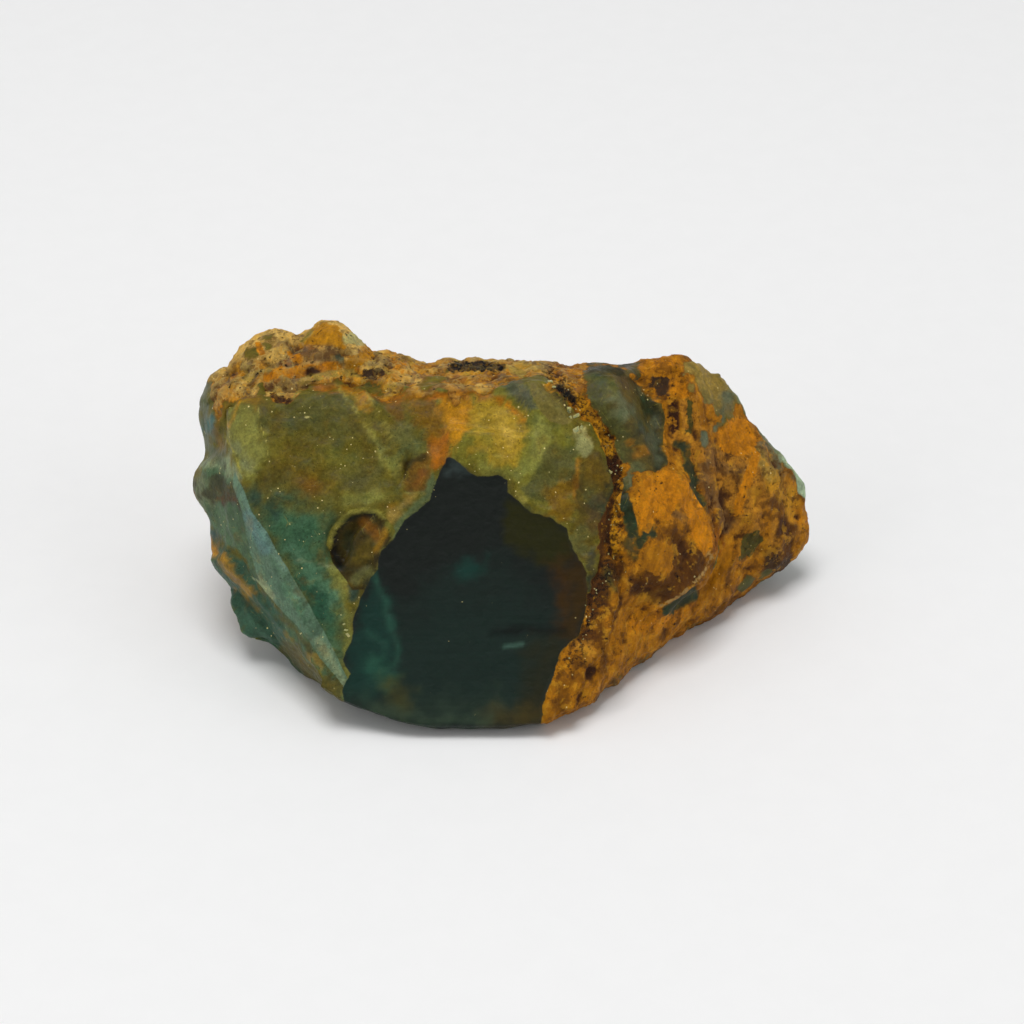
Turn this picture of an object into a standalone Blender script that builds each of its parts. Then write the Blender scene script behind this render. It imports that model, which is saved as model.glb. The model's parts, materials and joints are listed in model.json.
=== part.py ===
"""Raw fluorite: one weathered stone, about 61 mm long, lying on a flat cleavage face.

Every size here is in millimetres, and the finished mesh is turned to metres. +X runs along
the stone to its tapered tail, +Y from the broken front face to the back, and +Z is up.

The stone is made in the order that nature made it. Named corners give the broken block. An
even skin of quads is laid on that block and worn round. Lumps are then raised and cups,
grooves and ledges cut, along the skin's own normals. The flat faces are ground last.
"""

import bmesh
import bpy
import numpy as np
from mathutils import Vector, noise
from mathutils.bvhtree import BVHTree

MM = 0.001
NODE = "fluorite_stone"
STONE_COLOUR = (0.13, 0.095, 0.03, 1.0)
STONE_ROUGHNESS = 0.5

# ---------------------------------------------------------------- the broken block
CORNERS = {
    # the cleavage face underneath, a little below the floor until it is ground flat
    "foot_front_left": (-11.0, -15.6, -0.5),
    "foot_front_right": (4.0, -16.8, -0.5),
    "foot_right": (11.5, -8.0, -0.5),
    "foot_tail": (26.5, 5.8, -0.5),
    "foot_back_right": (23.0, 15.0, -0.5),
    "foot_back": (0.0, 18.0, -0.5),
    "foot_back_left": (-19.0, 14.0, -0.5),
    "foot_left": (-20.5, -6.0, -0.5),
    # the belt just above it
    "toe_front_left": (-10.5, -19.1, 1.9),
    "toe_front_right": (5.0, -19.3, 1.8),
    "toe_left_front": (-15.8, -17.2, 2.9),
    "toe_left": (-25.6, -7.0, 3.4),
    "toe_right": (12.2, -9.8, 1.8),
    "toe_tail": (28.8, 6.0, 1.8),
    "toe_tail_back": (28.0, 13.0, 4.0),
    # the left end
    "ridge_top": (-25.4, -4.4, 20.6),
    "left_low": (-28.4, -3.4, 7.6),
    "left_tip": (-30.4, 1.6, 15.2),
    "left_shoulder": (-29.4, 10.6, 21.8),
    "left_back": (-26.0, 16.0, 12.0),
    # the tail
    "tail_tip": (31.8, 8.0, 5.0),
    "tail_top": (31.8, 9.2, 10.2),
    # the top
    "face_top_left": (-25.0, 0.9, 26.2),
    "face_top_right": (4.8, 1.0, 27.4),
    "seam_elbow": (10.4, -5.0, 19.8),
    "seam_low": (8.9, -12.2, 10.4),
    "crest_left": (-23.6, 10.4, 25.4),
    "crest_middle": (-8.0, 6.0, 26.0),
    "crest_right": (10.0, 7.6, 25.6),
    "crest_hump": (18.6, 12.2, 23.4),
    "crest_end": (23.2, 13.2, 20.8),
    # the back
    "back_left": (-19.0, 18.0, 17.0),
    "back_middle": (0.0, 19.6, 13.0),
    "back_right": (19.0, 18.6, 12.0),
}
GRAIN = 0.55  # side of a quad of the skin
WEAR_ROUNDS = 9  # how often the skin is smoothed, which rounds the block's edges
TRIANGLES = 9600
FLOOR_SLACK = 0.03  # anything this near the floor is set on it
PATH_STEP = 1.2  # length of the steps in which a path is laid on the skin

# ---------------------------------------------------------------- relief on the skin
# Lumps: (middle, reach along X, Y and Z, height). A shallow hollow's height is negative.
LUMPS = {
    "crest_mound": ((-19.8, 9.4, 26.0), (8.0, 6.5, 6.5), 2.0),
    "crest_left_hump": ((-23.0, 8.8, 26.0), (4.4, 4.4, 4.4), 1.0),
    "crest_peak_lump": ((-17.0, 9.8, 27.0), (3.8, 4.4, 5.0), 1.7),
    "crest_shelf": ((-12.4, 8.2, 26.6), (4.4, 4.4, 5.0), 1.0),
    "crest_back_lump": ((-13.0, 14.0, 22.0), (6.0, 5.0, 5.0), 1.2),
    "shoulder_dome": ((11.5, 5.0, 23.6), (6.0, 5.0, 6.0), 0.9),
    "tail_dome": ((18.2, 10.0, 22.5), (4.6, 4.6, 5.0), 1.0),
    "nose": ((15.0, -3.0, 12.0), (7.5, 8.0, 9.0), 1.7),
    "tail_knob": ((29.5, 5.8, 5.0), (5.0, 5.0, 4.6), 1.0),
    "tail_swell": ((25.5, 6.0, 12.0), (5.0, 5.0, 7.0), 0.5),
    "left_knob": ((-29.5, 0.5, 16.0), (3.6, 4.0, 3.6), 0.6),
    "left_heel": ((-25.5, -5.6, 4.6), (3.6, 4.0, 3.2), 0.7),
    "lens_hollow": ((9.0, -6.2, 17.4), (1.8, 3.2, 4.4), -0.4),
    "brow": ((-19.0, -0.5, 22.5), (7.0, 6.0, 6.5), 0.5),
    "cup_brow": ((-17.0, -7.5, 18.0), (5.5, 5.0, 5.5), 0.5),
    "back_hollow": ((8.0, 19.0, 15.0), (8.0, 5.0, 6.0), -1.6),
    "back_boss": ((-9.0, 19.0, 9.0), (7.0, 5.0, 6.0), 1.2),
}
# Cups broken or dissolved into the face, with a steep rim: (middle, reach, depth).
CUPS = {
    "round_cup": ((-14.3, -8.2, 15.6), (2.9, 2.9, 2.9), 1.9),
    "upper_cup": ((-7.9, -5.0, 21.2), (1.5, 2.0, 2.4), 1.1),
    "top_hollow": ((16.3, 8.5, 23.0), (1.8, 1.8, 1.4), 0.6),
    "back_cup": ((14.0, 18.0, 8.0), (2.6, 2.6, 2.6), 1.3),
}
# Long forms: (points, half width, height). A groove's height is negative.
LINES = {
    "seam": (
        [(4.7, 4.7, 26.4), (7.4, 3.2, 24.8), (9.9, 0.6, 21.8), (11.1, -2.6, 18.4), (11.1, -6.0, 14.8),
         (10.2, -9.0, 12.0), (9.2, -12.0, 9.0), (7.6, -15.0, 5.6)],
        1.1, -0.55,
    ),
    "dome_valley": ([(12.8, 8.1, 25.0), (15.0, 6.4, 22.4), (16.6, 4.0, 18.6), (16.9, 2.4, 16.4)], 2.0, -0.8),
    "left_groove": ([(-25.5, 2.8, 25.2), (-27.1, 1.6, 22.0), (-28.8, 1.4, 18.9)], 1.6, -0.6),
    "cup_gutter": ([(-14.2, -9.6, 13.6), (-14.0, -12.0, 11.2), (-14.2, -14.0, 8.6)], 1.1, -0.6),
    "crest_cleft": ([(-20.6, 5.4, 27.0), (-20.2, 9.0, 27.4), (-20.8, 13.0, 24.0)], 1.3, -0.5),
    "shelf_cleft": ([(-15.4, 5.0, 27.2), (-15.2, 8.4, 27.6), (-15.0, 12.0, 24.0)], 1.3, -0.6),
    "back_furrow": (
        [(-22.0, 17.0, 8.0), (-10.0, 19.6, 16.0), (2.0, 17.4, 20.0), (12.0, 14.0, 22.0)],
        1.8, -0.7,
    ),
    "face_vein": ([(-15.6, 0.0, 25.6), (-11.4, -3.4, 21.0), (-9.4, -5.6, 18.6)], 1.0, 0.2),
}
# Ledges: (points, rise of the high side and its fade, drop of the low side and its fade). The
# high side lies to the left of the path, as seen from outside the stone.
LEDGES = {
    "nose_edge": (
        [(14.8, -8.4, 5.4), (19.0, -4.5, 6.2), (21.4, -1.9, 8.0), (22.2, 1.2, 10.8), (21.6, 3.6, 14.0),
         (20.0, 6.0, 17.6)],
        1.0, 3.0, 0.9, 3.5,
    ),
    "slab_edge": (
        [(-14.6, -17.4, 4.0), (-17.8, -13.8, 8.2), (-20.8, -10.2, 12.4), (-23.0, -7.0, 16.4),
         (-25.4, -3.4, 20.8)],
        0.35, 1.8, 0.45, 2.2,
    ),
    "left_step": (
        [(-28.0, -2.0, 11.6), (-25.6, -5.2, 8.6), (-21.0, -9.6, 5.8), (-16.8, -13.6, 4.0)],
        0.2, 2.0, 0.5, 2.5,
    ),
    "top_rim": (
        [(6.0, 3.0, 26.4), (0.0, 2.6, 27.0), (-8.0, 2.2, 27.0), (-16.0, 2.4, 26.8), (-24.0, 3.0, 26.0)],
        0.35, 2.2, 0.7, 2.2,
    ),
    "cleavage_step_back": (
        [(20.0, 18.0, 5.0), (6.0, 20.0, 8.0), (-6.0, 20.0, 5.0), (-20.0, 17.0, 6.0)],
        0.6, 3.0, 0.6, 4.0,
    ),
    "cleavage_step_left": (
        [(-27.0, 15.0, 16.0), (-28.0, 10.0, 12.0), (-28.0, 4.0, 8.0)],
        0.5, 3.0, 0.6, 3.0,
    ),
}
LEDGE_WIDTH = 0.5  # half the width of the slope between a ledge's two sides
END_FADE = 0.2  # share of a path over which a long form or ledge dies away at each end
WARP_SIZE, WARP = 3.2, 0.9  # how far, in millimetres, the forms wander from true curves
SWELLS = ((9.0, 0.5), (4.0, 0.36), (2.0, 0.2))  # unevenness: (size of a swell, height)
FACE_CALM = 0.6  # share of the unevenness that the smooth front face lacks

# ---------------------------------------------------------------- the window
# The rim of the bare window in the front face's rind, clockwise from its lower left: (X, Z).
WINDOW_RIM = {
    "floor_left": (-14.0, -2.0),
    "low_left": (-14.5, 3.6),
    "left_point": (-15.1, 6.2),
    "gutter": (-14.1, 9.5),
    "bevel_foot": (-11.9, 13.7),
    "bevel_head": (-8.0, 18.1),
    "notch": (-6.4, 19.8),
    "peak": (-5.0, 22.0),
    "shelf_left": (-2.4, 20.9),
    "shelf_right": (0.6, 20.7),
    "first_stair": (1.2, 19.2),
    "second_stair": (3.0, 17.9),
    "stair_end": (6.2, 17.0),
    "right_shoulder": (8.3, 13.6),
    "right": (8.6, 11.2),
    "right_waist": (7.5, 8.4),
    "low_right": (4.6, 3.8),
    "floor_right": (4.0, -2.0),
}
FACE_POINT = (0.0, -18.6, 2.4)  # a point of the window, and the way the window faces
FACE_NORMAL = (0.0, -0.79, 0.614)
RIND_HEIGHT, RIND_FADE = 0.5, 4.0  # how far the rind stands above the window, and where it thins
RIND_EDGE = 0.6  # width of the slope at its edge


def block_mesh():
    """The broken block: the convex hull of its corners."""
    block = bmesh.new()
    for place in CORNERS.values():
        block.verts.new(place)
    bmesh.ops.convex_hull(block, input=block.verts)
    mesh = bpy.data.meshes.new(NODE)
    block.to_mesh(mesh)
    block.free()
    return mesh


def bake(stone):
    """Puts the shape that the modifiers make into the stone's own mesh."""
    graph = bpy.context.evaluated_depsgraph_get()
    shaped = bpy.data.meshes.new_from_object(stone.evaluated_get(graph))
    stone.modifiers.clear()
    stone.data = shaped


def wear(stone):
    """Gives the block an even skin of quads and wears its edges round."""
    remesh = stone.modifiers.new("skin", "REMESH")
    remesh.mode = "VOXEL"
    remesh.voxel_size = GRAIN
    smooth = stone.modifiers.new("wear", "SMOOTH")
    smooth.factor = 0.5
    smooth.iterations = WEAR_ROUNDS
    bake(stone)


def thin(stone):
    """Merges the skin's flatter parts into fewer, larger faces."""
    decimate = stone.modifiers.new("thin", "DECIMATE")
    decimate.ratio = TRIANGLES / (2 * len(stone.data.polygons))
    bake(stone)


def centre(stone):
    """Sets the lowest face flat at Z 0 and puts the middle of the stone's outline at the origin."""
    places = np.array([v.co for v in stone.data.vertices])
    places[places[:, 2] < FLOOR_SLACK, 2] = 0
    middle = (places.min(axis=0) + places.max(axis=0)) / 2 * (1, 1, 0)
    for vert, place in zip(stone.data.vertices, places - middle):
        vert.co = place * MM
    stone.data.update()


def stone_material():
    material = bpy.data.materials.new("weathered_fluorite")
    material.use_nodes = True
    shader = material.node_tree.nodes["Principled BSDF"]
    shader.inputs["Base Color"].default_value = STONE_COLOUR
    shader.inputs["Roughness"].default_value = STONE_ROUGHNESS
    shader.inputs["Metallic"].default_value = 0.0
    material.diffuse_color = STONE_COLOUR
    return material


def dome(ratio):
    """1 in the middle, falling smoothly to 0 where ratio reaches 1."""
    inside = np.clip(1 - ratio**2, 0, 1)
    return inside * inside * (3 - 2 * inside)


def bowl(ratio):
    """1 over most of the middle, with a steep rim."""
    return np.clip(1 - ratio**4, 0, 1)


def spot_ratio(points, middle, reach):
    """Distance from a middle, as a share of the reach along each axis."""
    return np.linalg.norm((points - middle) / reach, axis=1)


def laid_path(path, settle):
    """A path laid on the skin in short steps."""
    path = np.array(path)
    lengths = np.linalg.norm(np.diff(path, axis=0), axis=1)
    marks = np.concatenate([[0], np.cumsum(lengths)])
    steps = np.linspace(0, marks[-1], int(marks[-1] / PATH_STEP) + 2)
    return np.array([settle(p) for p in np.column_stack([np.interp(steps, marks, axis) for axis in path.T])])


def along_path(points, normals, path):
    """Each point's distance from a path, the share of the path there, and how far it lies to the left."""
    distance = np.full(len(points), np.inf)
    share, left = np.zeros(len(points)), np.zeros(len(points))
    for i, (start, end) in enumerate(zip(path, path[1:])):
        way = end - start
        part = np.clip((points - start) @ way / (way @ way), 0, 1)
        gap = points - start - part[:, None] * way
        found = np.linalg.norm(gap, axis=1)
        nearer = found < distance
        distance[nearer] = found[nearer]
        share[nearer] = (i + part[nearer]) / (len(path) - 1)
        across = np.cross(normals[nearer], way / np.linalg.norm(way))
        left[nearer] = np.sum(gap[nearer] * across, axis=1)
    return distance, share, left


def end_fade(share):
    """0 at both ends of a path and 1 between them."""
    return np.clip(np.minimum(share, 1 - share) / END_FADE, 0, 1)


def ledge(distance, left, rise, rise_fade, drop, drop_fade):
    """Highest at the edge on the left, lowest at its foot on the right, with a slope between."""
    high = np.clip(left / LEDGE_WIDTH / 2 + 0.5, 0, 1)
    return high * rise * np.exp(-distance / rise_fade) - (1 - high) * drop * np.exp(-distance / drop_fade)


def relief(points, normals, settle):
    """Height to add at each point of the skin, in millimetres."""
    height = np.zeros(len(points))
    warped = points + [WARP * noise.noise_vector(Vector(p) / WARP_SIZE) for p in points]
    for middle, reach, rise in LUMPS.values():
        height += rise * dome(spot_ratio(warped, settle(middle), reach))
    for middle, reach, depth in CUPS.values():
        height -= depth * bowl(spot_ratio(points, settle(middle), reach))
    for path, half_width, rise in LINES.values():
        distance, share, _ = along_path(warped, normals, laid_path(path, settle))
        height += rise * dome(distance / half_width) * end_fade(share)
    for path, *profile in LEDGES.values():
        distance, share, left = along_path(warped, normals, laid_path(path, settle))
        height += ledge(distance, left, *profile) * end_fade(share)
    calm = 1 - FACE_CALM * np.clip(normals @ window_normal(), 0, 1) ** 2
    for size, rise in SWELLS:
        height += calm * [rise * noise.noise(Vector(p) / size) for p in points]
    return height


def window_normal():
    """The way the window faces, as one unit long."""
    return np.array(FACE_NORMAL) / np.linalg.norm(FACE_NORMAL)


def inside_window(points):
    """How far inside the window's rim each point lies, in X and Z, or minus how far outside."""
    flat = points[:, [0, 2]]
    rim = np.array(list(WINDOW_RIM.values()))
    inside = np.zeros(len(flat), bool)
    distance = np.full(len(flat), np.inf)
    for start, end in zip(rim, np.roll(rim, -1, axis=0)):
        way = end - start
        part = np.clip((flat - start) @ way / (way @ way), 0, 1)
        distance = np.minimum(distance, np.linalg.norm(flat - start - part[:, None] * way, axis=1))
        crosses = (start[1] > flat[:, 1]) != (end[1] > flat[:, 1])
        meets = start[0] + (flat[:, 1] - start[1]) * way[0] / (way[1] if way[1] else 1)
        inside ^= crosses & (flat[:, 0] < meets)
    return np.where(inside, distance, -distance)


def grind_window(points, normals):
    """The window ground on to its plane, and the rind round it raised above that plane."""
    face = window_normal()
    above = (points - FACE_POINT) @ face
    inward = inside_window(points)
    front = (normals @ face > 0.5) & (above > -3)
    ground = np.clip(inward / RIND_EDGE + 0.5, 0, 1) * front
    rind = RIND_HEIGHT * np.exp(np.minimum(inward, 0) / RIND_FADE) * front
    return points + face * ((1 - ground) * rind - ground * above)[:, None]


def carve(stone):
    """Moves each point of the skin along its normal by the relief there, then grinds the faces."""
    skin = bmesh.new()
    skin.from_mesh(stone.data)
    skin.normal_update()
    tree = BVHTree.FromBMesh(skin)
    points = np.array([v.co for v in skin.verts])
    normals = np.array([v.normal for v in skin.verts])

    def settle(place):
        """The place on the skin nearest a given one."""
        return np.array(tree.find_nearest(Vector(place))[0])

    points += normals * relief(points, normals, settle)[:, None]
    points = grind_window(points, normals)
    points[:, 2] = np.maximum(points[:, 2], 0)
    for vert, place in zip(skin.verts, points):
        vert.co = place
    skin.to_mesh(stone.data)
    skin.free()


def make_stone():
    stone = bpy.data.objects.new(NODE, block_mesh())
    bpy.context.scene.collection.objects.link(stone)
    wear(stone)
    carve(stone)
    thin(stone)
    centre(stone)
    stone.data.name = NODE
    stone.data.materials.append(stone_material())
    return stone


def main():
    for obj in list(bpy.data.objects):
        bpy.data.objects.remove(obj)
    make_stone()


main()
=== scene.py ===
"""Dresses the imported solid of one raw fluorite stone.

The stone is a dark teal and olive fluorite, with a bare dark window in its rind, a pale slab
down its left end and a rusty crust over its crest and tail. All of it follows two ideas:

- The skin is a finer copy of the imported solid. Its relief is cut in millimetres along its own
  normals, where the tables of places below say.
- A place is given on the chart, a flat map of the stone's front and top in millimetres, seen
  from one fixed point. What the chart can't see is dressed from the same finishes by noise.
"""

import json
import math
import random

import bpy
import numpy as np
from bpy.props import FloatProperty, FloatVectorProperty, IntProperty, PointerProperty
from mathutils import Matrix, Vector, noise

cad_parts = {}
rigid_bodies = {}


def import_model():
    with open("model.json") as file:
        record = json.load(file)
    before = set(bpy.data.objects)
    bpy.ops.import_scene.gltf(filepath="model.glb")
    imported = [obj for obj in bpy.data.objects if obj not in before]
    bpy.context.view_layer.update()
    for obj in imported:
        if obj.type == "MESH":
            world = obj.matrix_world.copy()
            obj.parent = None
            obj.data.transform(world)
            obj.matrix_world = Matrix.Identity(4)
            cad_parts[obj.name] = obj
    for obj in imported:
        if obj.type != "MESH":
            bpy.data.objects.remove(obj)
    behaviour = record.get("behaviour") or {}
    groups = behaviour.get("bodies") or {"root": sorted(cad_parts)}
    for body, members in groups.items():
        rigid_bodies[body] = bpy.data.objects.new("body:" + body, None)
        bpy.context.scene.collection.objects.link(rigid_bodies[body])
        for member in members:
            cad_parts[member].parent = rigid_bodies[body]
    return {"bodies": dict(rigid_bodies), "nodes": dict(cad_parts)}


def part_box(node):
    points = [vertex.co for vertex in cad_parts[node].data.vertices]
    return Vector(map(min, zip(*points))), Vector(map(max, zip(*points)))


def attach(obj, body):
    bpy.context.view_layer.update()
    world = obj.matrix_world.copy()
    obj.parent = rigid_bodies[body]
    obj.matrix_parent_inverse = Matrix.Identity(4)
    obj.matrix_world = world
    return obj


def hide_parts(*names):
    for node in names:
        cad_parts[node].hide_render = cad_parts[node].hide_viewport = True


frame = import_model()

bl_info = {
    "name": "Raw fluorite",
    "version": (1, 0, 0),
    "blender": (4, 5, 0),
    "location": "View3D > Sidebar > Fluorite",
    "description": "Dresses a raw fluorite stone in its rind, window, crust and crystal chips",
    "category": "Mesh",
}

MM = 0.001
NODE = "fluorite_stone"
BODY = next(iter(frame["bodies"]))
WANDER_SEED = 5  # for noise_vector, whose noise would otherwise change with the clock
CHIP_SEED = 11  # for the chips' shapes, sizes and places

# ---------------------------------------------------------------- the chart
# The chart is drawn as the stone looks from EYE, and its origin is the point that EYE looks at.
LOOK_AT = Vector((0.59, -0.33, 13.5))
LOOK_DISTANCE = 284.4
LOOK_DOWN = math.radians(35.0)
AHEAD = Vector((0, math.cos(LOOK_DOWN), -math.sin(LOOK_DOWN)))
UP = Vector((0, math.sin(LOOK_DOWN), math.cos(LOOK_DOWN)))
EYE = LOOK_AT - AHEAD * LOOK_DISTANCE

# ---------------------------------------------------------------- colours, as they look, 0 to 255
PALETTE = {
    # the window
    "navy": (33, 36, 34), "deep_teal": (34, 44, 40), "teal": (30, 66, 58), "dark_teal": (32, 52, 46),
    "mid_teal": (42, 76, 62), "vein_teal": (46, 80, 66), "pale_teal": (66, 92, 80),
    "peak_blue": (50, 58, 56), "bark_black": (54, 42, 22), "maroon": (62, 44, 24),
    "olive_grey": (42, 43, 33), "foot_olive": (66, 62, 32), "foot_teal": (55, 68, 54),
    # the clean fluorite round it
    "olive": (90, 82, 32), "sage_olive": (118, 116, 56), "black_olive": (58, 55, 38),
    "tan_olive": (130, 108, 50), "bronze": (108, 82, 24), "honey": (152, 124, 38),
    "straw_gold": (168, 140, 58), "moss_pale": (114, 114, 54), "bevel_sage": (88, 98, 62),
    "green_teal": (56, 84, 60), "deep_green": (40, 72, 54), "sage": (90, 106, 80),
    "mint": (150, 168, 136), "chip_dull": (142, 140, 88), "teal_grey": (50, 76, 60),
    "deep_teal_grey": (54, 80, 63), "slate_blue": (54, 70, 70), "blade": (72, 74, 56),
    "end_teal": (52, 88, 86), "grey_green": (100, 106, 78), "dome": (76, 68, 36),
    "dome_green": (80, 80, 42), "dark_grey_olive": (74, 76, 42), "grey_olive": (86, 86, 54),
    "bark_brown": (100, 74, 30), "slab_green": (70, 90, 64), "dark_sea": (46, 64, 54),
    "plum_olive": (76, 62, 40), "rust_brown": (112, 70, 28),
    # the crust
    "crest_ochre": (198, 160, 82), "gold": (196, 142, 40), "hay_pale": (186, 160, 92),
    "red_brown": (116, 66, 18), "tan_brown": (162, 110, 38), "plum_grey": (100, 84, 70),
    # more than one of these, and the crisp inlays
    "olive_black": (42, 42, 24), "near_black": (18, 18, 16), "foot_brown": (66, 56, 30),
    "bark_olive": (84, 72, 30), "dark_olive": (76, 70, 34), "cup_olive": (56, 48, 24),
    "straw": (142, 132, 62), "moss": (106, 102, 40), "moss_grey": (90, 90, 50), "dark_moss": (78, 76, 40),
    "sea_green": (74, 106, 80), "sea_sage": (84, 108, 86), "pale_sage": (124, 134, 100),
    "ice": (84, 116, 116), "chip": (172, 162, 100), "slate_green": (86, 90, 68),
    "facet_olive": (104, 94, 48), "black_green": (46, 48, 32), "rust_olive": (104, 70, 24),
    "amber_olive": (136, 102, 32), "moss_straw": (126, 120, 54), "pale_ice": (112, 138, 122),
    "ochre": (160, 104, 18), "bright_ochre": (184, 117, 22), "orange": (176, 112, 22),
    "amber": (170, 118, 28), "hay": (150, 126, 58), "rust": (148, 88, 22), "brown": (84, 53, 13),
    "umber": (56, 35, 12), "plum": (62, 48, 36), "plum_tan": (108, 80, 48), "slate": (80, 70, 58),
    "lip": (164, 130, 74), "glint": (226, 208, 140),
    # the stage
    "floor": (241, 241, 241),
}
SHEEN = 0.008  # the light that the stone's gloss adds to every colour
LIT = 0.82  # how brightly the stone is lit beside the floor


def area(colour, soft, strength, *outline):
    """A patch inside a closed outline on the chart."""
    return {"colour": colour, "width": 0.0, "soft": soft, "strength": strength, "points": outline}


def stroke(colour, width, soft, strength, *path):
    """A patch as far as width either side of a path on the chart."""
    return {"colour": colour, "width": width, "soft": soft, "strength": strength, "points": path}


# ---------------------------------------------------------------- places on the chart
# Each is: colour, (half width,) softness of its edge, strength, points in millimetres. Later
# rows go over earlier ones. First, where there is crust, 1, and where there is none, 0:
COVER = {
    "crest": area(1, 0.3, 1,
        (-28.4, 10), (-27.6, 11), (-26, 12), (-25, 12.8), (-24.2, 11), (-22.5, 11), (-21.1, 12.4),
        (-19.4, 13.2), (-17.5, 13.1), (-16, 12.4), (-14.6, 12.6), (-13, 12.2), (-11.8, 11.5),
        (-10.8, 12.2), (-9.2, 11.4), (-7.4, 12.2), (-5.4, 11.4), (-3.7, 12), (-2.4, 11.8),
        (-1.2, 12.8), (0, 13.1), (1.4, 13.4), (2.8, 13.8), (3.6, 14), (4.8, 17.7), (-21.2, 21.7),
        (-30.7, 18.2), (-29, 14.6), (-29.5, 13.2), (-29.2, 10.8), (-29.2, 8.8),
    ),
    "right_side": area(1, 0.3, 1,
        (3.4, 14), (6.3, 11), (8.5, 7.8), (9.5, 5), (9.9, 2.2), (9, -1), (8.7, -4.4), (7.6, -8.8),
        (6.1, -12), (4.4, -15), (3.2, -18.8), (2.6, -22.3), (8.8, -25.8), (32.8, -9.8), (32.8, 4.2),
        (18.8, 18.2), (3.4, 18.2),
    ),
    "dome": area(0, 0.3, 1,
        (7.6, 14.8), (12.4, 14.8), (13, 13.6), (14, 12), (15.2, 10.9), (15.5, 7.2), (15.4, 4.6),
        (14, 4), (12.6, 4.3), (11.4, 4.8), (10.6, 6), (9.7, 7.8), (8.8, 9.3), (7.8, 10.7), (7, 12.2),
        (7.1, 13.8),
    ),
    "seam_crust": stroke(1, 0.45, 0.3, 1,
        (4.4, 12.8), (5.8, 11.9), (7.3, 10.3), (8.5, 8.7), (9.4, 7.2), (10, 5.7), (11, 4),
    ),
    "tail_shoulder": area(0, 0.5, 1,
        (17.2, 15), (20, 15.2), (22, 12.7), (23.3, 11), (22.2, 10), (21.4, 8.6), (20.4, 8.2), (20, 10),
        (19, 11.4), (17.8, 12.8),
    ),
    "nose_gap": stroke(0, 0.5, 0.3, 1, (17, 6.7), (17.7, 4.2), (18.4, 2.2), (18.8, 0.8)),
    "seam_gap": stroke(0, 0.6, 0.3, 1, (11.2, 1.4), (11.8, -0.4), (12.2, -2)),
    "seam_gap_low": stroke(0, 0.45, 0.4, 0.7, (11.8, -1.2), (12.1, -3.8)),
    "slate_gap": stroke(0, 0.6, 0.4, 0.8, (12.1, 4.2), (11.6, 2.4)),
    "nose_spot": stroke(0, 0.6, 0.3, 1, (12.7, -2.8), (14.2, -1.8)),
    "shoulder_spot": stroke(0, 0.45, 0.4, 1, (18.8, 6.8), (19.2, 7.8)),
    "tail_rim": stroke(0, 0.45, 0.3, 1,
        (22.6, 11.6), (23.8, 10), (25, 8.4), (26.6, 6.3), (28.5, 3.8), (29.3, 1.8),
    ),
    "skirt_gap": stroke(0, 0.5, 0.4, 0.9, (23, -7.5), (25.2, -6.3)),
    "nose_under": stroke(0, 0.6, 0.3, 1, (15.6, -9.6), (18, -8.2)),
    "rim_low": stroke(0, 0.4, 0.4, 0.8, (11.3, -16.8), (18.8, -11.6)),
    "crest_green": stroke(0, 0.6, 0.5, 0.7, (-26.2, 16), (-24.4, 16.8)),
    "top_grey": stroke(0, 0.6, 0.4, 0.8, (-8.8, 12.7), (-6.9, 13.4)),
}
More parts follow.
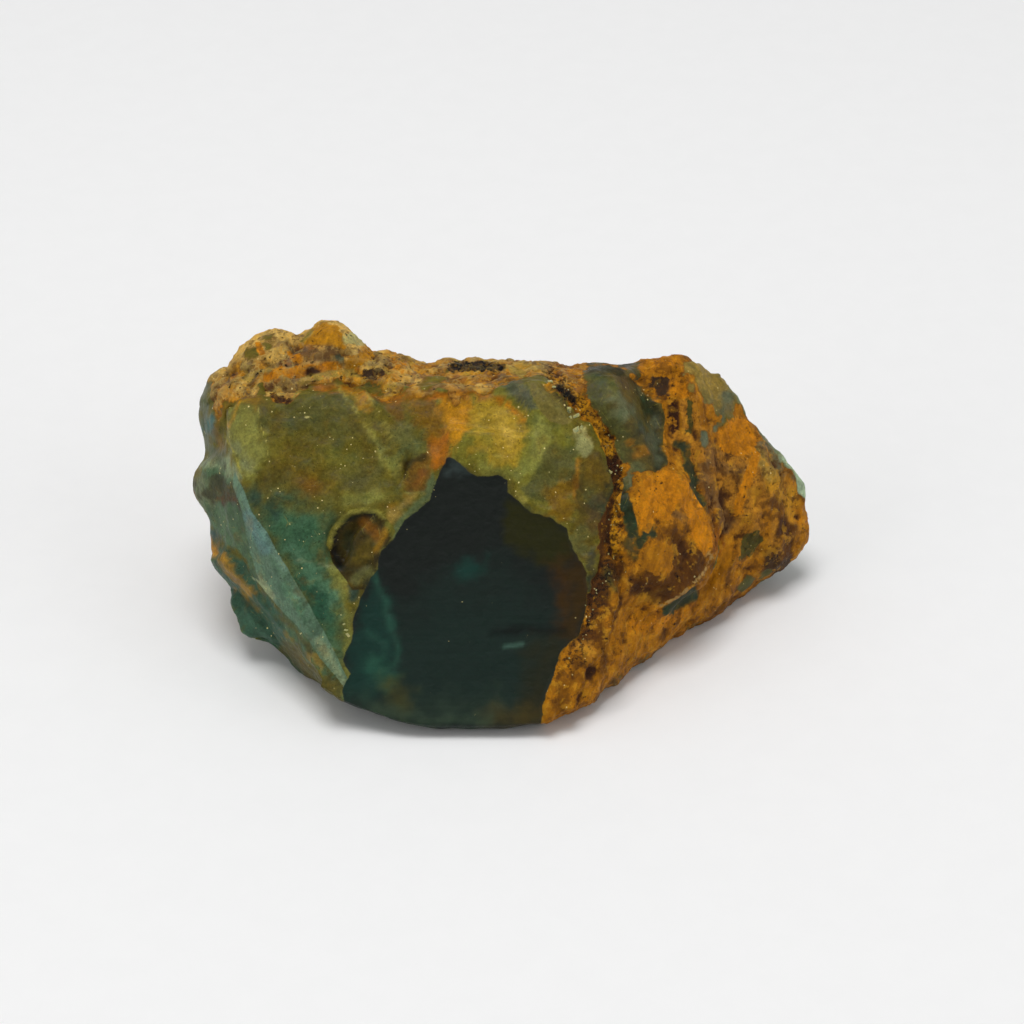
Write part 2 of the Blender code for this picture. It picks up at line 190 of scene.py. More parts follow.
# The fluorite, over plain olive
STONE = {
    "face_grey": area("dark_grey_olive", 1.2, 0.55,
        (-21.6, 10.8), (-20, 12), (-17.2, 12.6), (-16, 10.4), (-15, 8.2), (-17.2, 7.2), (-20.2, 8.2),
        (-22, 8.8),
    ),
    "face_bronze": stroke("bronze", 1.5, 1.6, 0.4, (-22, 4), (-20, 2.6)),
    "face_heart": stroke("rust_olive", 0.5, 1, 0.7, (-20.8, 2.8), (-19.8, 2.5)),
    "face_slate": stroke("grey_olive", 0.9, 1.4, 0.5, (-15.8, 3.4), (-13.6, 4)),
    "face_light": stroke("moss_pale", 0.6, 1, 0.8, (-16.7, 0.9), (-14.6, 1.2), (-12.8, 1.5)),
    "face_panel": area("sage_olive", 0.5, 0.9,
        (-28.3, 10.2), (-27.2, 10.8), (-25.5, 10.8), (-25.2, 8.7), (-24.2, 6.5), (-24.7, 5),
        (-25.6, 3.2), (-26.6, 2.6), (-27.2, 3.8), (-28, 6.2), (-28.6, 7.6),
    ),
    "panel_cloud": stroke("grey_green", 0.6, 0.7, 0.6, (-27, 6), (-26.2, 4.6)),
    "face_cloud": stroke("moss", 0.8, 1.2, 0.6, (-18.2, 5.7), (-16.2, 5)),
    "face_left": stroke("bark_olive", 0.9, 0.8, 0.7, (-24.4, 10.4), (-23.6, 9.4)),
    "face_deep": stroke("dark_olive", 0.9, 0.9, 0.7, (-23.6, 3.4), (-22.2, 2.6)),
    "face_corner": stroke("amber_olive", 0.5, 0.6, 0.7, (-27.6, 11.4), (-25.6, 11)),
    "strip_grey": area("moss_grey", 0.8, 0.8,
        (-12.6, 8.8), (-11, 9.2), (-9.8, 7.6), (-9.6, 6.4), (-11.2, 6.2), (-12.2, 7.4),
    ),
    "rind_base": area("moss", 0.8, 0.9,
        (-11.2, 12.6), (3.4, 12.8), (4.8, 9.2), (6.8, 6.2), (6.6, 1.2), (5.4, -1.8), (3.6, -0.3),
        (0.8, 2), (-1.2, 4.2), (-3.6, 4.6), (-6.6, 5.4), (-8.2, 7.2),
    ),
    "rind_red": area("rust_olive", 0.6, 0.8,
        (-11.4, 12.4), (-7.4, 12.2), (-7.2, 8.2), (-8.6, 7.2), (-9.8, 9.2), (-10.8, 10.8),
    ),
    "lens_base": area("bark_olive", 0.4, 1,
        (6.7, 5.6), (8.1, 6.4), (9.2, 5.4), (10.3, 3.3), (10.4, 2.2), (9.3, 0), (9.1, -1.8),
        (7.6, -4.8), (5.4, -5.1), (5.1, -2.8), (6.4, 0.2), (6.6, 3.2),
    ),
    "amber_face": area("amber", 0.5, 0.9,
        (-7.3, 11.7), (-4.2, 12), (-3.8, 8.5), (-5, 7.6), (-6, 6.6), (-6.6, 8), (-7.2, 9.6),
    ),
    "amber_fade": stroke("bronze", 0.4, 0.6, 0.6, (-6.2, 7.2), (-7.2, 9.2)),
    "tongue": area("rust", 0.35, 0.9,
        (-8.4, 7.6), (-6.6, 8.2), (-6, 7.2), (-6.6, 5), (-7.5, 3.8), (-8, 4.2), (-8.2, 6),
    ),
    "honey_face": area("honey", 0.6, 0.9,
        (-4.1, 12), (-1, 11.5), (1.2, 9.6), (1.9, 8.2), (1.3, 6), (0.1, 4.1), (-1.2, 4.8), (-2.6, 5.4),
        (-3.8, 6.6), (-4.2, 7.6), (-3.8, 8.8),
    ),
    "honey_glow": stroke("straw_gold", 0.7, 0.9, 0.8, (-0.8, 9.4), (-0.4, 6.6)),
    "honey_moss": stroke("moss", 0.5, 0.8, 0.7, (-3, 7.2), (-1.6, 6)),
    "honey_edge": stroke("orange", 0.2, 0.3, 0.9, (-1.2, 11.3), (0, 10.4), (1.2, 9.2)),
    "green_face": area("moss_pale", 0.5, 0.9,
        (2, 9.8), (3.7, 8.9), (4.1, 7.6), (3.3, 5.2), (2.1, 3.5), (0.2, 3), (0, 4), (1.2, 5.8), (1.9, 8),
    ),
    "green_glow": stroke("sage_olive", 0.5, 0.7, 0.8, (2.9, 8.2), (2.5, 5.6)),
    "moss_face": area("dark_moss", 0.5, 0.9,
        (4.1, 7.6), (6.3, 6), (6.4, 2.9), (4.4, 0.5), (2.1, 1.7), (0.4, 2.4), (1.8, 3.4), (3.3, 5),
    ),
    "blade": area("blade", 0.2, 0.9,
        (-1.3, 13.5), (0.1, 13.4), (1.3, 13), (2, 11.6), (2.7, 10.1), (1.6, 10.1), (0.3, 11.2),
        (-0.6, 12.4),
    ),
    "gold_face": area("bronze", 0.6, 0.9, (3.9, 2.2), (6.4, 3.1), (6.5, 0.5), (5.5, -1.4), (3.6, -0.3)),
    "rim_pale": stroke("sage_olive", 0.3, 0.3, 0.8, (-4.2, 5.2), (-2.6, 4.6), (-1.2, 4.4)),
    "rim_bright": stroke("straw", 0.3, 0.3, 0.8, (0.3, 2.2), (1.2, 1.4)),
    "lens_gold": stroke("ochre", 0.2, 0.25, 0.6, (6.5, 5.2), (6.6, 3.4), (6.3, 1.2)),
    "lens_top": stroke("bronze", 0.8, 0.7, 0.4, (7.8, 5), (9, 3.2)),
    "lens_dark": stroke("plum_olive", 0.8, 0.6, 0.8, (8.6, 1.4), (8, -1.2)),
    "lens_low": stroke("moss_grey", 1, 0.7, 0.8, (6.2, -3.6), (7.2, -2.2)),
    "lens_shade": stroke("cup_olive", 0.6, 0.8, 0.5, (6.8, 2.8), (7.2, 0.2)),
    "rind_end": stroke("black_olive", 0.7, 0.4, 0.95, (7.9, -5.2), (8, -7.8), (7.5, -11.2)),
    "strip_amber": area("amber_olive", 0.35, 0.9,
        (-17, 12.6), (-14.6, 12.4), (-13.5, 10.4), (-14, 9.8), (-15.2, 10.2), (-16.2, 11.4),
    ),
    "strip_shade": area("bark_olive", 0.4, 0.9, (-14.1, 8.6), (-12.8, 8.8), (-12.4, 7.2), (-13.2, 6.4)),
    "strip_brown": area("bark_brown", 0.7, 0.9,
        (-13.8, 12.2), (-11.4, 12.2), (-10.2, 10.4), (-11, 9.8), (-12.6, 10),
    ),
    "strip_low": stroke("moss_pale", 0.4, 0.6, 0.7, (-13.2, 6), (-12, 3.8)),
    "face_teal": area("green_teal", 2.4, 1,
        (-25.8, 1.6), (-23.2, 1.2), (-20.7, 0.7), (-18.2, -0.8), (-18.2, -6.3), (-16.7, -8.8),
        (-16.7, -13.8), (-16.9, -17.8), (-19.4, -12.8), (-22.2, -6.8), (-24.6, -2.3),
    ),
    "teal_dark": stroke("dark_sea", 0.7, 1.2, 0.8, (-25.2, 1.2), (-24, 0.4)),
    "sea_patch": stroke("sea_green", 1.1, 1, 0.8, (-21.2, -4.4), (-19.7, -6.3), (-18, -9.4)),
    "deep_patch": stroke("deep_green", 0.7, 0.6, 0.9, (-21.2, -7), (-20, -8.8), (-18.7, -10)),
    "face_edge": stroke("moss_pale", 0.6, 0.5, 0.8,
        (-17.6, -5.4), (-16.4, -8.8), (-16.2, -13.8), (-16.7, -17.8),
    ),
    "slab": area("slab_green", 0.3, 1,
        (-30.7, 5), (-28.7, 5.2), (-26.9, 2.2), (-25, -1.8), (-22.2, -6.8), (-19.4, -12.8),
        (-16.7, -18), (-16.2, -19.2), (-18.2, -17.8), (-20.7, -14.8), (-23.2, -11), (-25.4, -7.6),
        (-27.4, -4.4), (-29, -3.3), (-30.7, -0.8), (-31.6, 1.7),
    ),
    "slab_head": stroke("pale_sage", 0.5, 0.5, 0.8, (-30.4, 4.6), (-28.6, 4.7), (-27.4, 3.4)),
    "slab_grey": stroke("grey_green", 0.6, 0.6, 0.8, (-30.9, 3), (-30.6, 0.2)),
    "slab_spot": stroke("black_olive", 1.4, 0.6, 0.85, (-29.6, 2.6), (-28.2, 1.8)),
    "slab_spot_heart": stroke("brown", 0.35, 0.5, 0.8, (-29.1, 1.3), (-28.2, 1.1)),
    "slab_back": stroke("bark_olive", 0.25, 0.3, 0.7,
        (-25.4, -7), (-23.6, -9.8), (-21.2, -12.4), (-18.4, -16),
    ),
    "heel": area("teal_grey", 0.5, 1,
        (-30.8, -0.8), (-29, -3.3), (-27.2, -4.6), (-25, -8), (-22.7, -12), (-20, -16), (-21.2, -17.8),
        (-25.4, -14.3), (-28, -10), (-30.4, -5.3),
    ),
    "heel_blue": stroke("slate_blue", 0.3, 0.4, 0.8, (-30, -2), (-29.2, -2.8)),
    "heel_low": stroke("deep_teal_grey", 1, 0.6, 0.9, (-27.2, -8.8), (-26, -11.6), (-24.4, -13.3)),
    "heel_olive": stroke("dark_olive", 0.8, 0.6, 0.9, (-22.2, -13.8), (-20.2, -16), (-17.8, -17.8)),
    "heel_amber": stroke("tan_olive", 0.3, 0.4, 0.8, (-20, -14.3), (-19.2, -15.6)),
    "heel_streak": stroke("amber", 0.35, 0.5, 0.85, (-30.1, -2.9), (-29.3, -4.5)),
    "heel_streak_low": stroke("amber_olive", 0.4, 0.5, 0.8, (-29, -4.8), (-27.8, -6.4), (-26.4, -8.2)),
    "heel_streak_end": stroke("bronze", 0.2, 0.3, 0.7, (-26.2, -8.6), (-25.3, -9.7)),
    "end_shade": stroke("slate_green", 0.9, 0.7, 0.9, (-30.9, 12.2), (-30.6, 7.2), (-29.6, 5.6)),
    "end_blue": stroke("end_teal", 0.5, 0.5, 0.8, (-30.6, 8.2), (-29.9, 9.4)),
    "end_top": stroke("grey_olive", 0.8, 0.8, 0.8, (-30, 14.6), (-29.6, 12.8)),
    "end_line": stroke("bronze", 0.3, 0.3, 0.7, (-28.6, 10.8), (-29.8, 8.2), (-29, 6.4)),
    "rind_shade": stroke("bark_brown", 0.7, 0.6, 0.7, (-8.4, 11.2), (-7.4, 8.8)),
    "rind_pale": stroke("moss_pale", 0.6, 0.5, 0.6, (-2.8, 4.2), (-0.6, 3.8)),
    "rind_rust": stroke("rust", 0.4, 0.3, 0.8, (-11, 12), (-7.2, 11.6), (-3.7, 12), (-1, 11)),
    "stain_left": stroke("bronze", 0.8, 0.7, 0.7, (-9.8, 11), (-8.4, 8.2)),
    "dome_dark": area("dome", 0.6, 1,
        (6.6, 15.2), (7.8, 15.6), (13, 15.2), (14.3, 14), (15.6, 11.4), (16.4, 8.2), (15.8, 4.2),
        (13.8, 3.2), (12, 3.8), (10.6, 4.6), (9.2, 7.6), (7.8, 10), (6.6, 11.6),
    ),
    "dome_green": area("dome_green", 0.9, 0.9,
        (7.1, 13.6), (8.8, 13.9), (10.4, 13), (10, 10.4), (11, 8.4), (12, 5.6), (11, 5.2), (9.8, 7.2),
        (8.8, 9.1), (7.4, 11.2),
    ),
    # A painted highlight on the dome.
    "dome_glow": stroke("grey_green", 0.5, 0.8, 0.65, (10.2, 11.5), (11.2, 9.9)),
    "dome_plum": stroke("plum_olive", 0.7, 0.6, 0.8, (11, 13.8), (13, 12)),
    "dome_rim": stroke("slate", 0.4, 0.4, 0.7, (7.4, 14.4), (11.4, 14.5)),
    "dome_side": stroke("olive_black", 0.9, 0.6, 0.95, (13.8, 10.4), (14.6, 5.7)),
    "dome_top": stroke("olive_black", 0.6, 0.5, 0.85, (8, 14.6), (11, 14.2)),
    "dome_slate": stroke("slate_green", 0.5, 0.6, 0.6, (13.8, 9), (14.4, 5.6)),
    "dome_gloom": stroke("olive_black", 0.6, 0.6, 0.35, (8, 12.8), (8.8, 11.2), (9.6, 9.4)),
    "dome_rust": stroke("ochre", 0.3, 0.4, 0.5, (11.8, 6.8), (13, 6.2), (12.2, 5.6)),
    "tail_tan": area("tan_olive", 0.8, 1,
        (16.4, 15.4), (20, 15.2), (22.3, 12.7), (23.6, 10.8), (21.6, 9.7), (19.4, 10), (18.4, 11.6),
        (17.2, 13.2),
    ),
    "tail_slate": stroke("slate_green", 0.6, 0.5, 0.9, (21.6, 11.4), (20.6, 8.8)),
    "right_dark": area("black_green", 0.6, 1,
        (9.2, 4.2), (14.8, 4.2), (16, -2.8), (13.8, -10.8), (8.8, -12.8),
    ),
    "slate_gap_tint": stroke("grey_olive", 0.7, 0.4, 0.9, (12.1, 4.2), (11.6, 2.4)),
    "nose_gap_tint": stroke("black_green", 1, 0.5, 1, (17.2, 6.7), (18.9, 0.8)),
    "shoulder_tint": stroke("slate_green", 0.9, 0.5, 1, (18.6, 7), (19.8, 8.2)),
    # Pale mint along the tail's thin rim: the rim's own pale colour with a painted glow of light coming
    # through it.
    "rim_mint_glow": stroke("mint", 0.5, 0.5, 1,
        (22.6, 12.2), (24.6, 9.4), (26.6, 6.7), (28.6, 4.2), (29.5, 1.6),
    ),
    "rim_grey": stroke("grey_green", 0.6, 0.5, 0.9, (22.4, 12.6), (23.8, 10.4), (25.4, 8.2), (26.6, 6.6)),
    "skirt_tint": stroke("dark_moss", 1, 0.6, 1, (10.8, -17.2), (18.8, -11.4), (25.3, -6.3)),
    "under_tint": stroke("black_green", 1, 0.6, 1, (14.8, -9.6), (18.2, -7.8)),
    "bevel": stroke("bevel_sage", 0.7, 0.4, 1, (-7.8, 2.8), (-9.7, 0.4), (-11.6, -2)),
    "bevel_gold": stroke("tan_olive", 0.4, 0.4, 0.9, (-10, 1.8), (-11.4, 0.4), (-12.6, -1.2)),
    "bevel_low": stroke("cup_olive", 0.6, 0.4, 0.9, (-12.6, -3.3), (-13.8, -5.2), (-14.8, -7.4)),
    "bevel_foot": stroke("olive", 0.6, 0.4, 0.9, (-15.2, -7.2), (-16, -9.4)),
    "bevel_teal": stroke("dark_sea", 0.3, 0.3, 0.9, (-16, -6.4), (-16, -8.4)),
    "corner_vein": stroke("amber", 0.2, 0.25, 0.6, (-27.4, 11), (-28.2, 8.7)),
    "sea_vein": stroke("pale_sage", 0.12, 0.15, 0.6, (-21.4, -4.8), (-18.2, -5.4)),
    "face_wedge": area("moss_pale", 0.35, 0.8,
        (-14.8, 8.4), (-14, 8), (-12.8, 6.4), (-11.6, 5.4), (-11.5, 4.5), (-12.4, 4.1), (-13.4, 5.8),
    ),
    "small_cup": area("bark_brown", 0.3, 0.95,
        (-10.8, 2.4), (-10.7, 4), (-10, 5.1), (-8.8, 5.8), (-8, 5.5), (-8, 4.2), (-8.4, 2.8),
        (-9.2, 2), (-10.4, 2),
    ),
    # A painted shadow on the small cup's upper left wall.
    "small_cup_shadow": stroke("cup_olive", 0.35, 0.4, 0.9, (-10.6, 3.6), (-10, 4.8), (-8.8, 5.4)),
    "small_cup_glow": stroke("rust_brown", 0.3, 0.4, 0.8, (-9.8, 2.6), (-8.8, 4)),
    "small_cup_line": stroke("straw", 0.08, 0.15, 0.7, (-10.8, 1.9), (-10, 1.9), (-8.8, 1.9)),
    "gutter": stroke("amber_olive", 0.15, 0.3, 0.7, (-12.1, 0.3), (-10.9, 1.7)),
    "crystal": area("chip_dull", 0.25, 0.9,
        (6.2, 8.1), (7.1, 8.3), (8, 7), (8.1, 6.3), (7.2, 5.4), (6.5, 6.1),
    ),
    "crystal_edge": stroke("chip", 0.12, 0.2, 0.8, (6.2, 8.1), (7.1, 8.3), (8, 7)),
    "brow_rust": stroke("rust", 0.35, 0.5, 0.75,
        (-19, 12.4), (-16.7, 12.4), (-14.2, 11.8), (-11.2, 11.4),
    ),
    # Pale lines down the folds: pale veins with painted highlights on the folds' edges.
    "fold": stroke("straw", 0.12, 0.25, 0.8,
        (-17.5, 12.7), (-16.2, 10.8), (-14.9, 9), (-13.8, 7.1), (-12.8, 5.1), (-12.1, 3.6),
    ),
    "fold_right": stroke("straw", 0.11, 0.22, 0.6,
        (-14.6, 12.4), (-13.5, 10.4), (-12.8, 9.3), (-12.5, 7.6), (-11.7, 5.6), (-11.1, 4.4),
    ),
    "fold_shade": stroke("bark_olive", 0.35, 0.5, 0.6,
        (-17.8, 12), (-16.6, 10.2), (-15.4, 8.4), (-14.4, 6.6),
    ),
}
# The clean crystal in the window, over navy
WINDOW = {
    "window_low": area("deep_teal", 1.8, 1,
        (-14, -12.8), (-11.2, -10), (-6.2, -7.8), (0.8, -8.4), (5.3, -10.8), (3.8, -21.8),
        (-13.2, -21.8), (-17.4, -18), (-17, -14.8),
    ),
    "window_patch": stroke("teal", 0.7, 0.45, 0.9, (-4.8, -6.2), (-3.4, -5.4)),
    "window_fade": stroke("deep_teal", 1.3, 1.4, 0.7, (-7.2, -8), (-1.2, -6), (0.4, -7.8)),
    "window_left": area("dark_teal", 0.5, 1,
        (-13.8, -6.2), (-12.2, -9.8), (-11.5, -12.8), (-11.7, -17.8), (-14.7, -19.2), (-17.2, -18),
        (-16.2, -12.8),
    ),
    "window_vein": stroke("vein_teal", 0.16, 0.3, 0.8,
        (-13.8, -6.5), (-12.4, -10), (-11.5, -12.8), (-11.6, -15.4), (-12.6, -17.8),
    ),
    "window_loop": stroke("vein_teal", 0.12, 0.3, 0.5,
        (-14.6, -12), (-12.8, -13), (-12.8, -14.4), (-14, -15.2),
    ),
    "window_blue": stroke("mid_teal", 0.8, 0.7, 0.9, (-13.8, -15.6), (-12.4, -16.4)),
    "window_olive": area("olive_black", 0.35, 1,
        (-0.6, 1.6), (1.8, 0.2), (4, -0.6), (6, -1.8), (6.4, -4.8), (4.8, -6), (1, -4.2), (-0.6, -2.8),
    ),
    "window_red": stroke("maroon", 0.6, 0.6, 0.9, (4.8, -5.6), (5.4, -8.8), (5, -12)),
    "window_side": area("bark_black", 0.6, 1,
        (5.4, -4.4), (8.4, -3.8), (8.8, -7.8), (6.8, -12.4), (4.8, -12.8), (5.6, -8.8),
    ),
    "window_band": stroke("near_black", 0.3, 0.3, 0.8, (-1.8, -11.7), (5, -11.9)),
    "window_corner": area("olive_grey", 0.9, 1, (1.6, -13), (5.4, -12.8), (3.6, -20), (1.2, -19.2)),
    "window_foot": stroke("foot_olive", 0.9, 0.8, 0.8, (-12, -17.6), (-11.2, -19.2)),
    "window_foot_right": stroke("foot_brown", 0.9, 0.8, 0.8, (-1.6, -20.4), (3, -20.5)),
    "window_edge": stroke("foot_teal", 0.4, 0.5, 0.7, (-13.4, -19.8), (-8.2, -20.8), (-2.6, -21)),
    "window_floor": stroke("foot_teal", 0.9, 0.9, 0.35,
        (-15.2, -18.8), (-11.2, -20), (-7.2, -19.2), (-1.2, -19.2),
    ),
    "window_streak": stroke("pale_teal", 0.12, 0.15, 0.8, (-0.7, -13.4), (0.9, -13.3)),
    "window_peak": area("peak_blue", 0.25, 1, (-6.6, 3.6), (-6, 6), (-3.4, 4)),
}
# The crust, over ochre
CRUST = {
    "crest_base": area("crest_ochre", 0.8, 1,
        (-30.8, 8.7), (-29.8, 10.7), (-26, 12), (-22.5, 11.4), (-17.5, 13.5), (-10.8, 12.7),
        (-3.7, 12.1), (1.6, 12.6), (3.6, 14), (4.8, 17.7), (-21.2, 21.7), (-31.7, 17.7),
    ),
    "crest_hump": stroke("hay_pale", 0.9, 0.6, 0.5,
        (-26.6, 14.6), (-25.6, 16.2), (-24, 16.7), (-22.4, 16.2),
    ),
    "crest_specks": stroke("slate", 0.4, 0.3, 0.9, (-14.2, 16.2), (-13.4, 15.4)),
    "crest_small": stroke("orange", 0.7, 0.5, 0.9, (-12.8, 15), (-11.6, 15.6), (-11, 14.8)),
    "crest_dip": stroke("slate", 0.35, 0.4, 0.9, (-24.6, 14.6), (-23.6, 14)),
    "crest_left": stroke("rust", 0.5, 0.4, 0.9, (-28, 13.6), (-27.2, 14), (-26.2, 14.4)),
    "crest_left_slate": stroke("slate", 0.5, 0.5, 0.9, (-27.6, 14.6), (-26.2, 15)),
    "crest_left_hollow": stroke("umber", 0.35, 0.4, 0.8, (-26.8, 12.4), (-27.2, 11.6)),
    "crest_hay": stroke("hay", 0.4, 0.4, 0.9, (-26.6, 13.4), (-25.6, 12.8)),
    "crest_rust": stroke("orange", 0.4, 0.4, 0.9, (-16, 14.4), (-14, 13.8)),
    "crest_right": stroke("hay", 0.4, 0.4, 0.9, (-12.2, 13.6), (-10.2, 13.4)),
    "top_slate": stroke("slate_green", 0.6, 0.5, 0.8, (-8.6, 12.7), (-6.8, 13.2)),
    "top_hay": stroke("hay", 0.35, 0.4, 0.8, (1.8, 14.6), (3.3, 15)),
    "top_brown": stroke("plum", 0.35, 0.4, 0.8, (-2.6, 13.4), (-0.6, 13.2)),
    "top_line": stroke("orange", 0.45, 0.4, 0.8, (-11.2, 13.4), (-7.2, 14)),
    "top_hay_line": stroke("hay", 0.3, 0.4, 0.8, (-6.4, 13.4), (-3.2, 13.2)),
    "seam_shadow": stroke("umber", 0.6, 0.4, 0.9,
        (8.6, 7.2), (9.6, 4.2), (9.4, 0.2), (8.8, -4.4), (7.8, -8.8),
    ),
    "seam_maroon": stroke("umber", 0.6, 0.4, 0.9, (10, 6), (10.7, 4.2)),
    "tail_top": stroke("orange", 0.5, 0.4, 0.95, (13.8, 14.7), (16.4, 15.2)),
    "tail_band": area("tan_brown", 0.5, 0.9,
        (15.6, 11.4), (19.4, 11.2), (20, 8.2), (18.8, 3.6), (17.2, 3.2), (16.4, 6.2),
    ),
    "right_brown": area("tan_brown", 0.7, 1,
        (18.6, 6.8), (21, 6.8), (23.6, 5.6), (26.4, 6), (28.8, 2.2), (28.8, -2.8), (24.8, -4.8),
        (20.8, -1.8), (19.6, 2.2),
    ),
    "right_plum": stroke("plum_tan", 0.8, 0.6, 0.75, (24.6, 6.4), (26.6, 4.4)),
    "right_warm": stroke("ochre", 0.5, 0.4, 0.9, (25.6, 0), (25.4, -3.8)),
    "tail_dark": stroke("brown", 0.8, 0.5, 0.9, (26.5, 0.4), (27.6, -1.8), (27.2, -4.4)),
    "tail_heart": stroke("umber", 0.45, 0.4, 0.8, (26.8, -0.8), (27.2, -2)),
    "tail_plum": stroke("plum", 1, 0.4, 0.95, (25.8, -5.4), (27.2, -5.6)),
    "tail_light": stroke("orange", 0.5, 0.4, 0.9, (28.5, 1.2), (29.1, -0.8)),
    "tail_edge": stroke("slate_green", 0.5, 0.5, 0.8, (25.2, 7.2), (27.8, 3.6)),
    "nose_brown": area("brown", 0.7, 0.95,
        (15.8, -1.8), (17.2, -1.4), (18.4, -2.8), (19.4, -4.4), (19.2, -6), (17.8, -7.2), (16.2, -7.2),
        (15.6, -4.8),
    ),
    "nose_shade": area("brown", 0.6, 0.95,
        (11.6, -6.6), (13.8, -5.8), (15.8, -6.2), (18.2, -6), (18.6, -7.2), (17.2, -8.2), (15.2, -9.1),
        (12.8, -9.4), (11.6, -8.4),
    ),
    "nose_dark": stroke("umber", 0.4, 0.5, 0.9, (17.2, -3.6), (17.8, -5.4)),
    "nose_slope": stroke("rust", 0.5, 0.3, 0.9, (20.4, -0.8), (20.6, -3.8)),
    "skirt_dark": stroke("foot_brown", 0.4, 0.4, 0.9, (8.8, -18.8), (14.8, -14.3)),
    "skirt_foot": stroke("brown", 0.8, 0.6, 0.6, (4.8, -19.3), (7.3, -13.8)),
    "skirt_rust": stroke("red_brown", 0.6, 0.7, 0.7, (14.8, -10.8), (17.8, -9.2)),
    "low_seam": stroke("umber", 1.1, 0.8, 0.9, (10, -5.8), (8.8, -9), (7.4, -12.4)),
    "low_amber": stroke("amber", 0.4, 0.3, 0.9, (10, -7.3), (9.4, -8.8)),
    "low_green": stroke("dark_olive", 0.5, 0.3, 0.9, (11.8, -3.3), (12.1, -4.6)),
    "right_slot": stroke("umber", 0.22, 0.3, 0.9, (22.8, 4.1), (22.6, 2.5)),
    "right_knot": area("brown", 0.5, 0.9, (20, 0.9), (21.4, 1.2), (22.2, 0), (21.6, -1.8), (20.4, -1.6)),
    "skirt_light": stroke("bright_ochre", 1, 0.6, 0.95, (13, -11.6), (16.4, -9.9)),
    "top_plum": stroke("plum_tan", 0.5, 0.5, 0.7, (-7.2, 13.6), (-4.2, 13.8), (-1.2, 13)),
    "top_gloom": stroke("umber", 0.35, 0.4, 0.6, (-0.7, 14.1), (1.8, 13.1)),
    "crest_depth": stroke("umber", 0.25, 0.4, 0.7, (-21.2, 14.8), (-19.2, 15), (-16.8, 14.6)),
    "crest_left_depth": stroke("umber", 0.25, 0.4, 0.7, (-25.4, 14), (-24.6, 13.2)),
    "skirt_line": stroke("brown", 0.18, 0.3, 0.85, (22.4, -2.8), (22, -5), (21.5, -7.8)),
    "corner_pit": stroke("umber", 0.5, 0.25, 0.95, (7.8, -15.7), (8, -16.1)),
    "foot_glow": stroke("tan_brown", 0.7, 0.5, 0.9, (7, -13.2), (7.8, -14.4)),
    "foot_column": stroke("brown", 0.5, 0.5, 0.7, (9.2, -8.4), (9, -12.4), (9.5, -15.6)),
    "right_gold": stroke("gold", 0.8, 0.8, 0.7, (25.8, 2.8), (28, 1.2)),
    "right_tan": stroke("hay", 0.6, 0.6, 0.6, (24.4, 6), (25.6, 4.2)),
    "left_plum": stroke("plum_tan", 0.7, 0.6, 0.7, (-30.6, 10.8), (-29.6, 12), (-28.2, 13.2)),
    "top_pale": stroke("hay_pale", 0.5, 0.5, 0.6, (-11, 13.2), (-7.2, 12.8)),
    "top_veil": stroke("plum_tan", 0.6, 0.6, 0.6, (-0.7, 14), (2.8, 13.4)),
    "low_olive": stroke("dark_moss", 0.4, 0.4, 0.8, (9.4, -6.2), (10.4, -7.4)),
    "nose_valley": stroke("plum_tan", 0.7, 0.5, 0.85, (18.8, 4.2), (20.2, 1.4), (21, -1.2)),
    "nose_valley_dark": stroke("umber", 0.3, 0.4, 0.7, (20, 0), (20.4, -2)),
    "tail_veil": stroke("plum_tan", 0.7, 0.5, 0.7, (19.4, 7.2), (20.4, 5), (22.6, 4.2)),
    "skirt_veil": stroke("brown", 0.6, 0.6, 0.6, (23, -7.6), (21.4, -9), (19.4, -11)),
    "low_shade": stroke("brown", 0.7, 0.6, 0.6, (8.8, -7.6), (9.4, -10)),
    "crest_left_gloom": stroke("plum", 0.5, 0.4, 0.9, (-27.4, 13.4), (-26.8, 14.2), (-25.8, 14.5)),
    "crest_veil": stroke("plum_tan", 0.8, 0.6, 0.8, (-22.8, 16.2), (-21.2, 15.8), (-19, 15.6)),
    "slope_light": stroke("gold", 0.5, 0.5, 0.6, (12.8, -9), (14.8, -8)),
    "nose_umber": stroke("umber", 0.5, 0.5, 0.8, (12.8, -8), (15.2, -8)),
    "nose_plum": stroke("plum_tan", 0.3, 0.4, 0.8, (15.8, 0), (17, -0.8)),
    "seam_low_shade": stroke("umber", 0.5, 0.5, 0.6, (10, -1.6), (9.8, -4)),
}
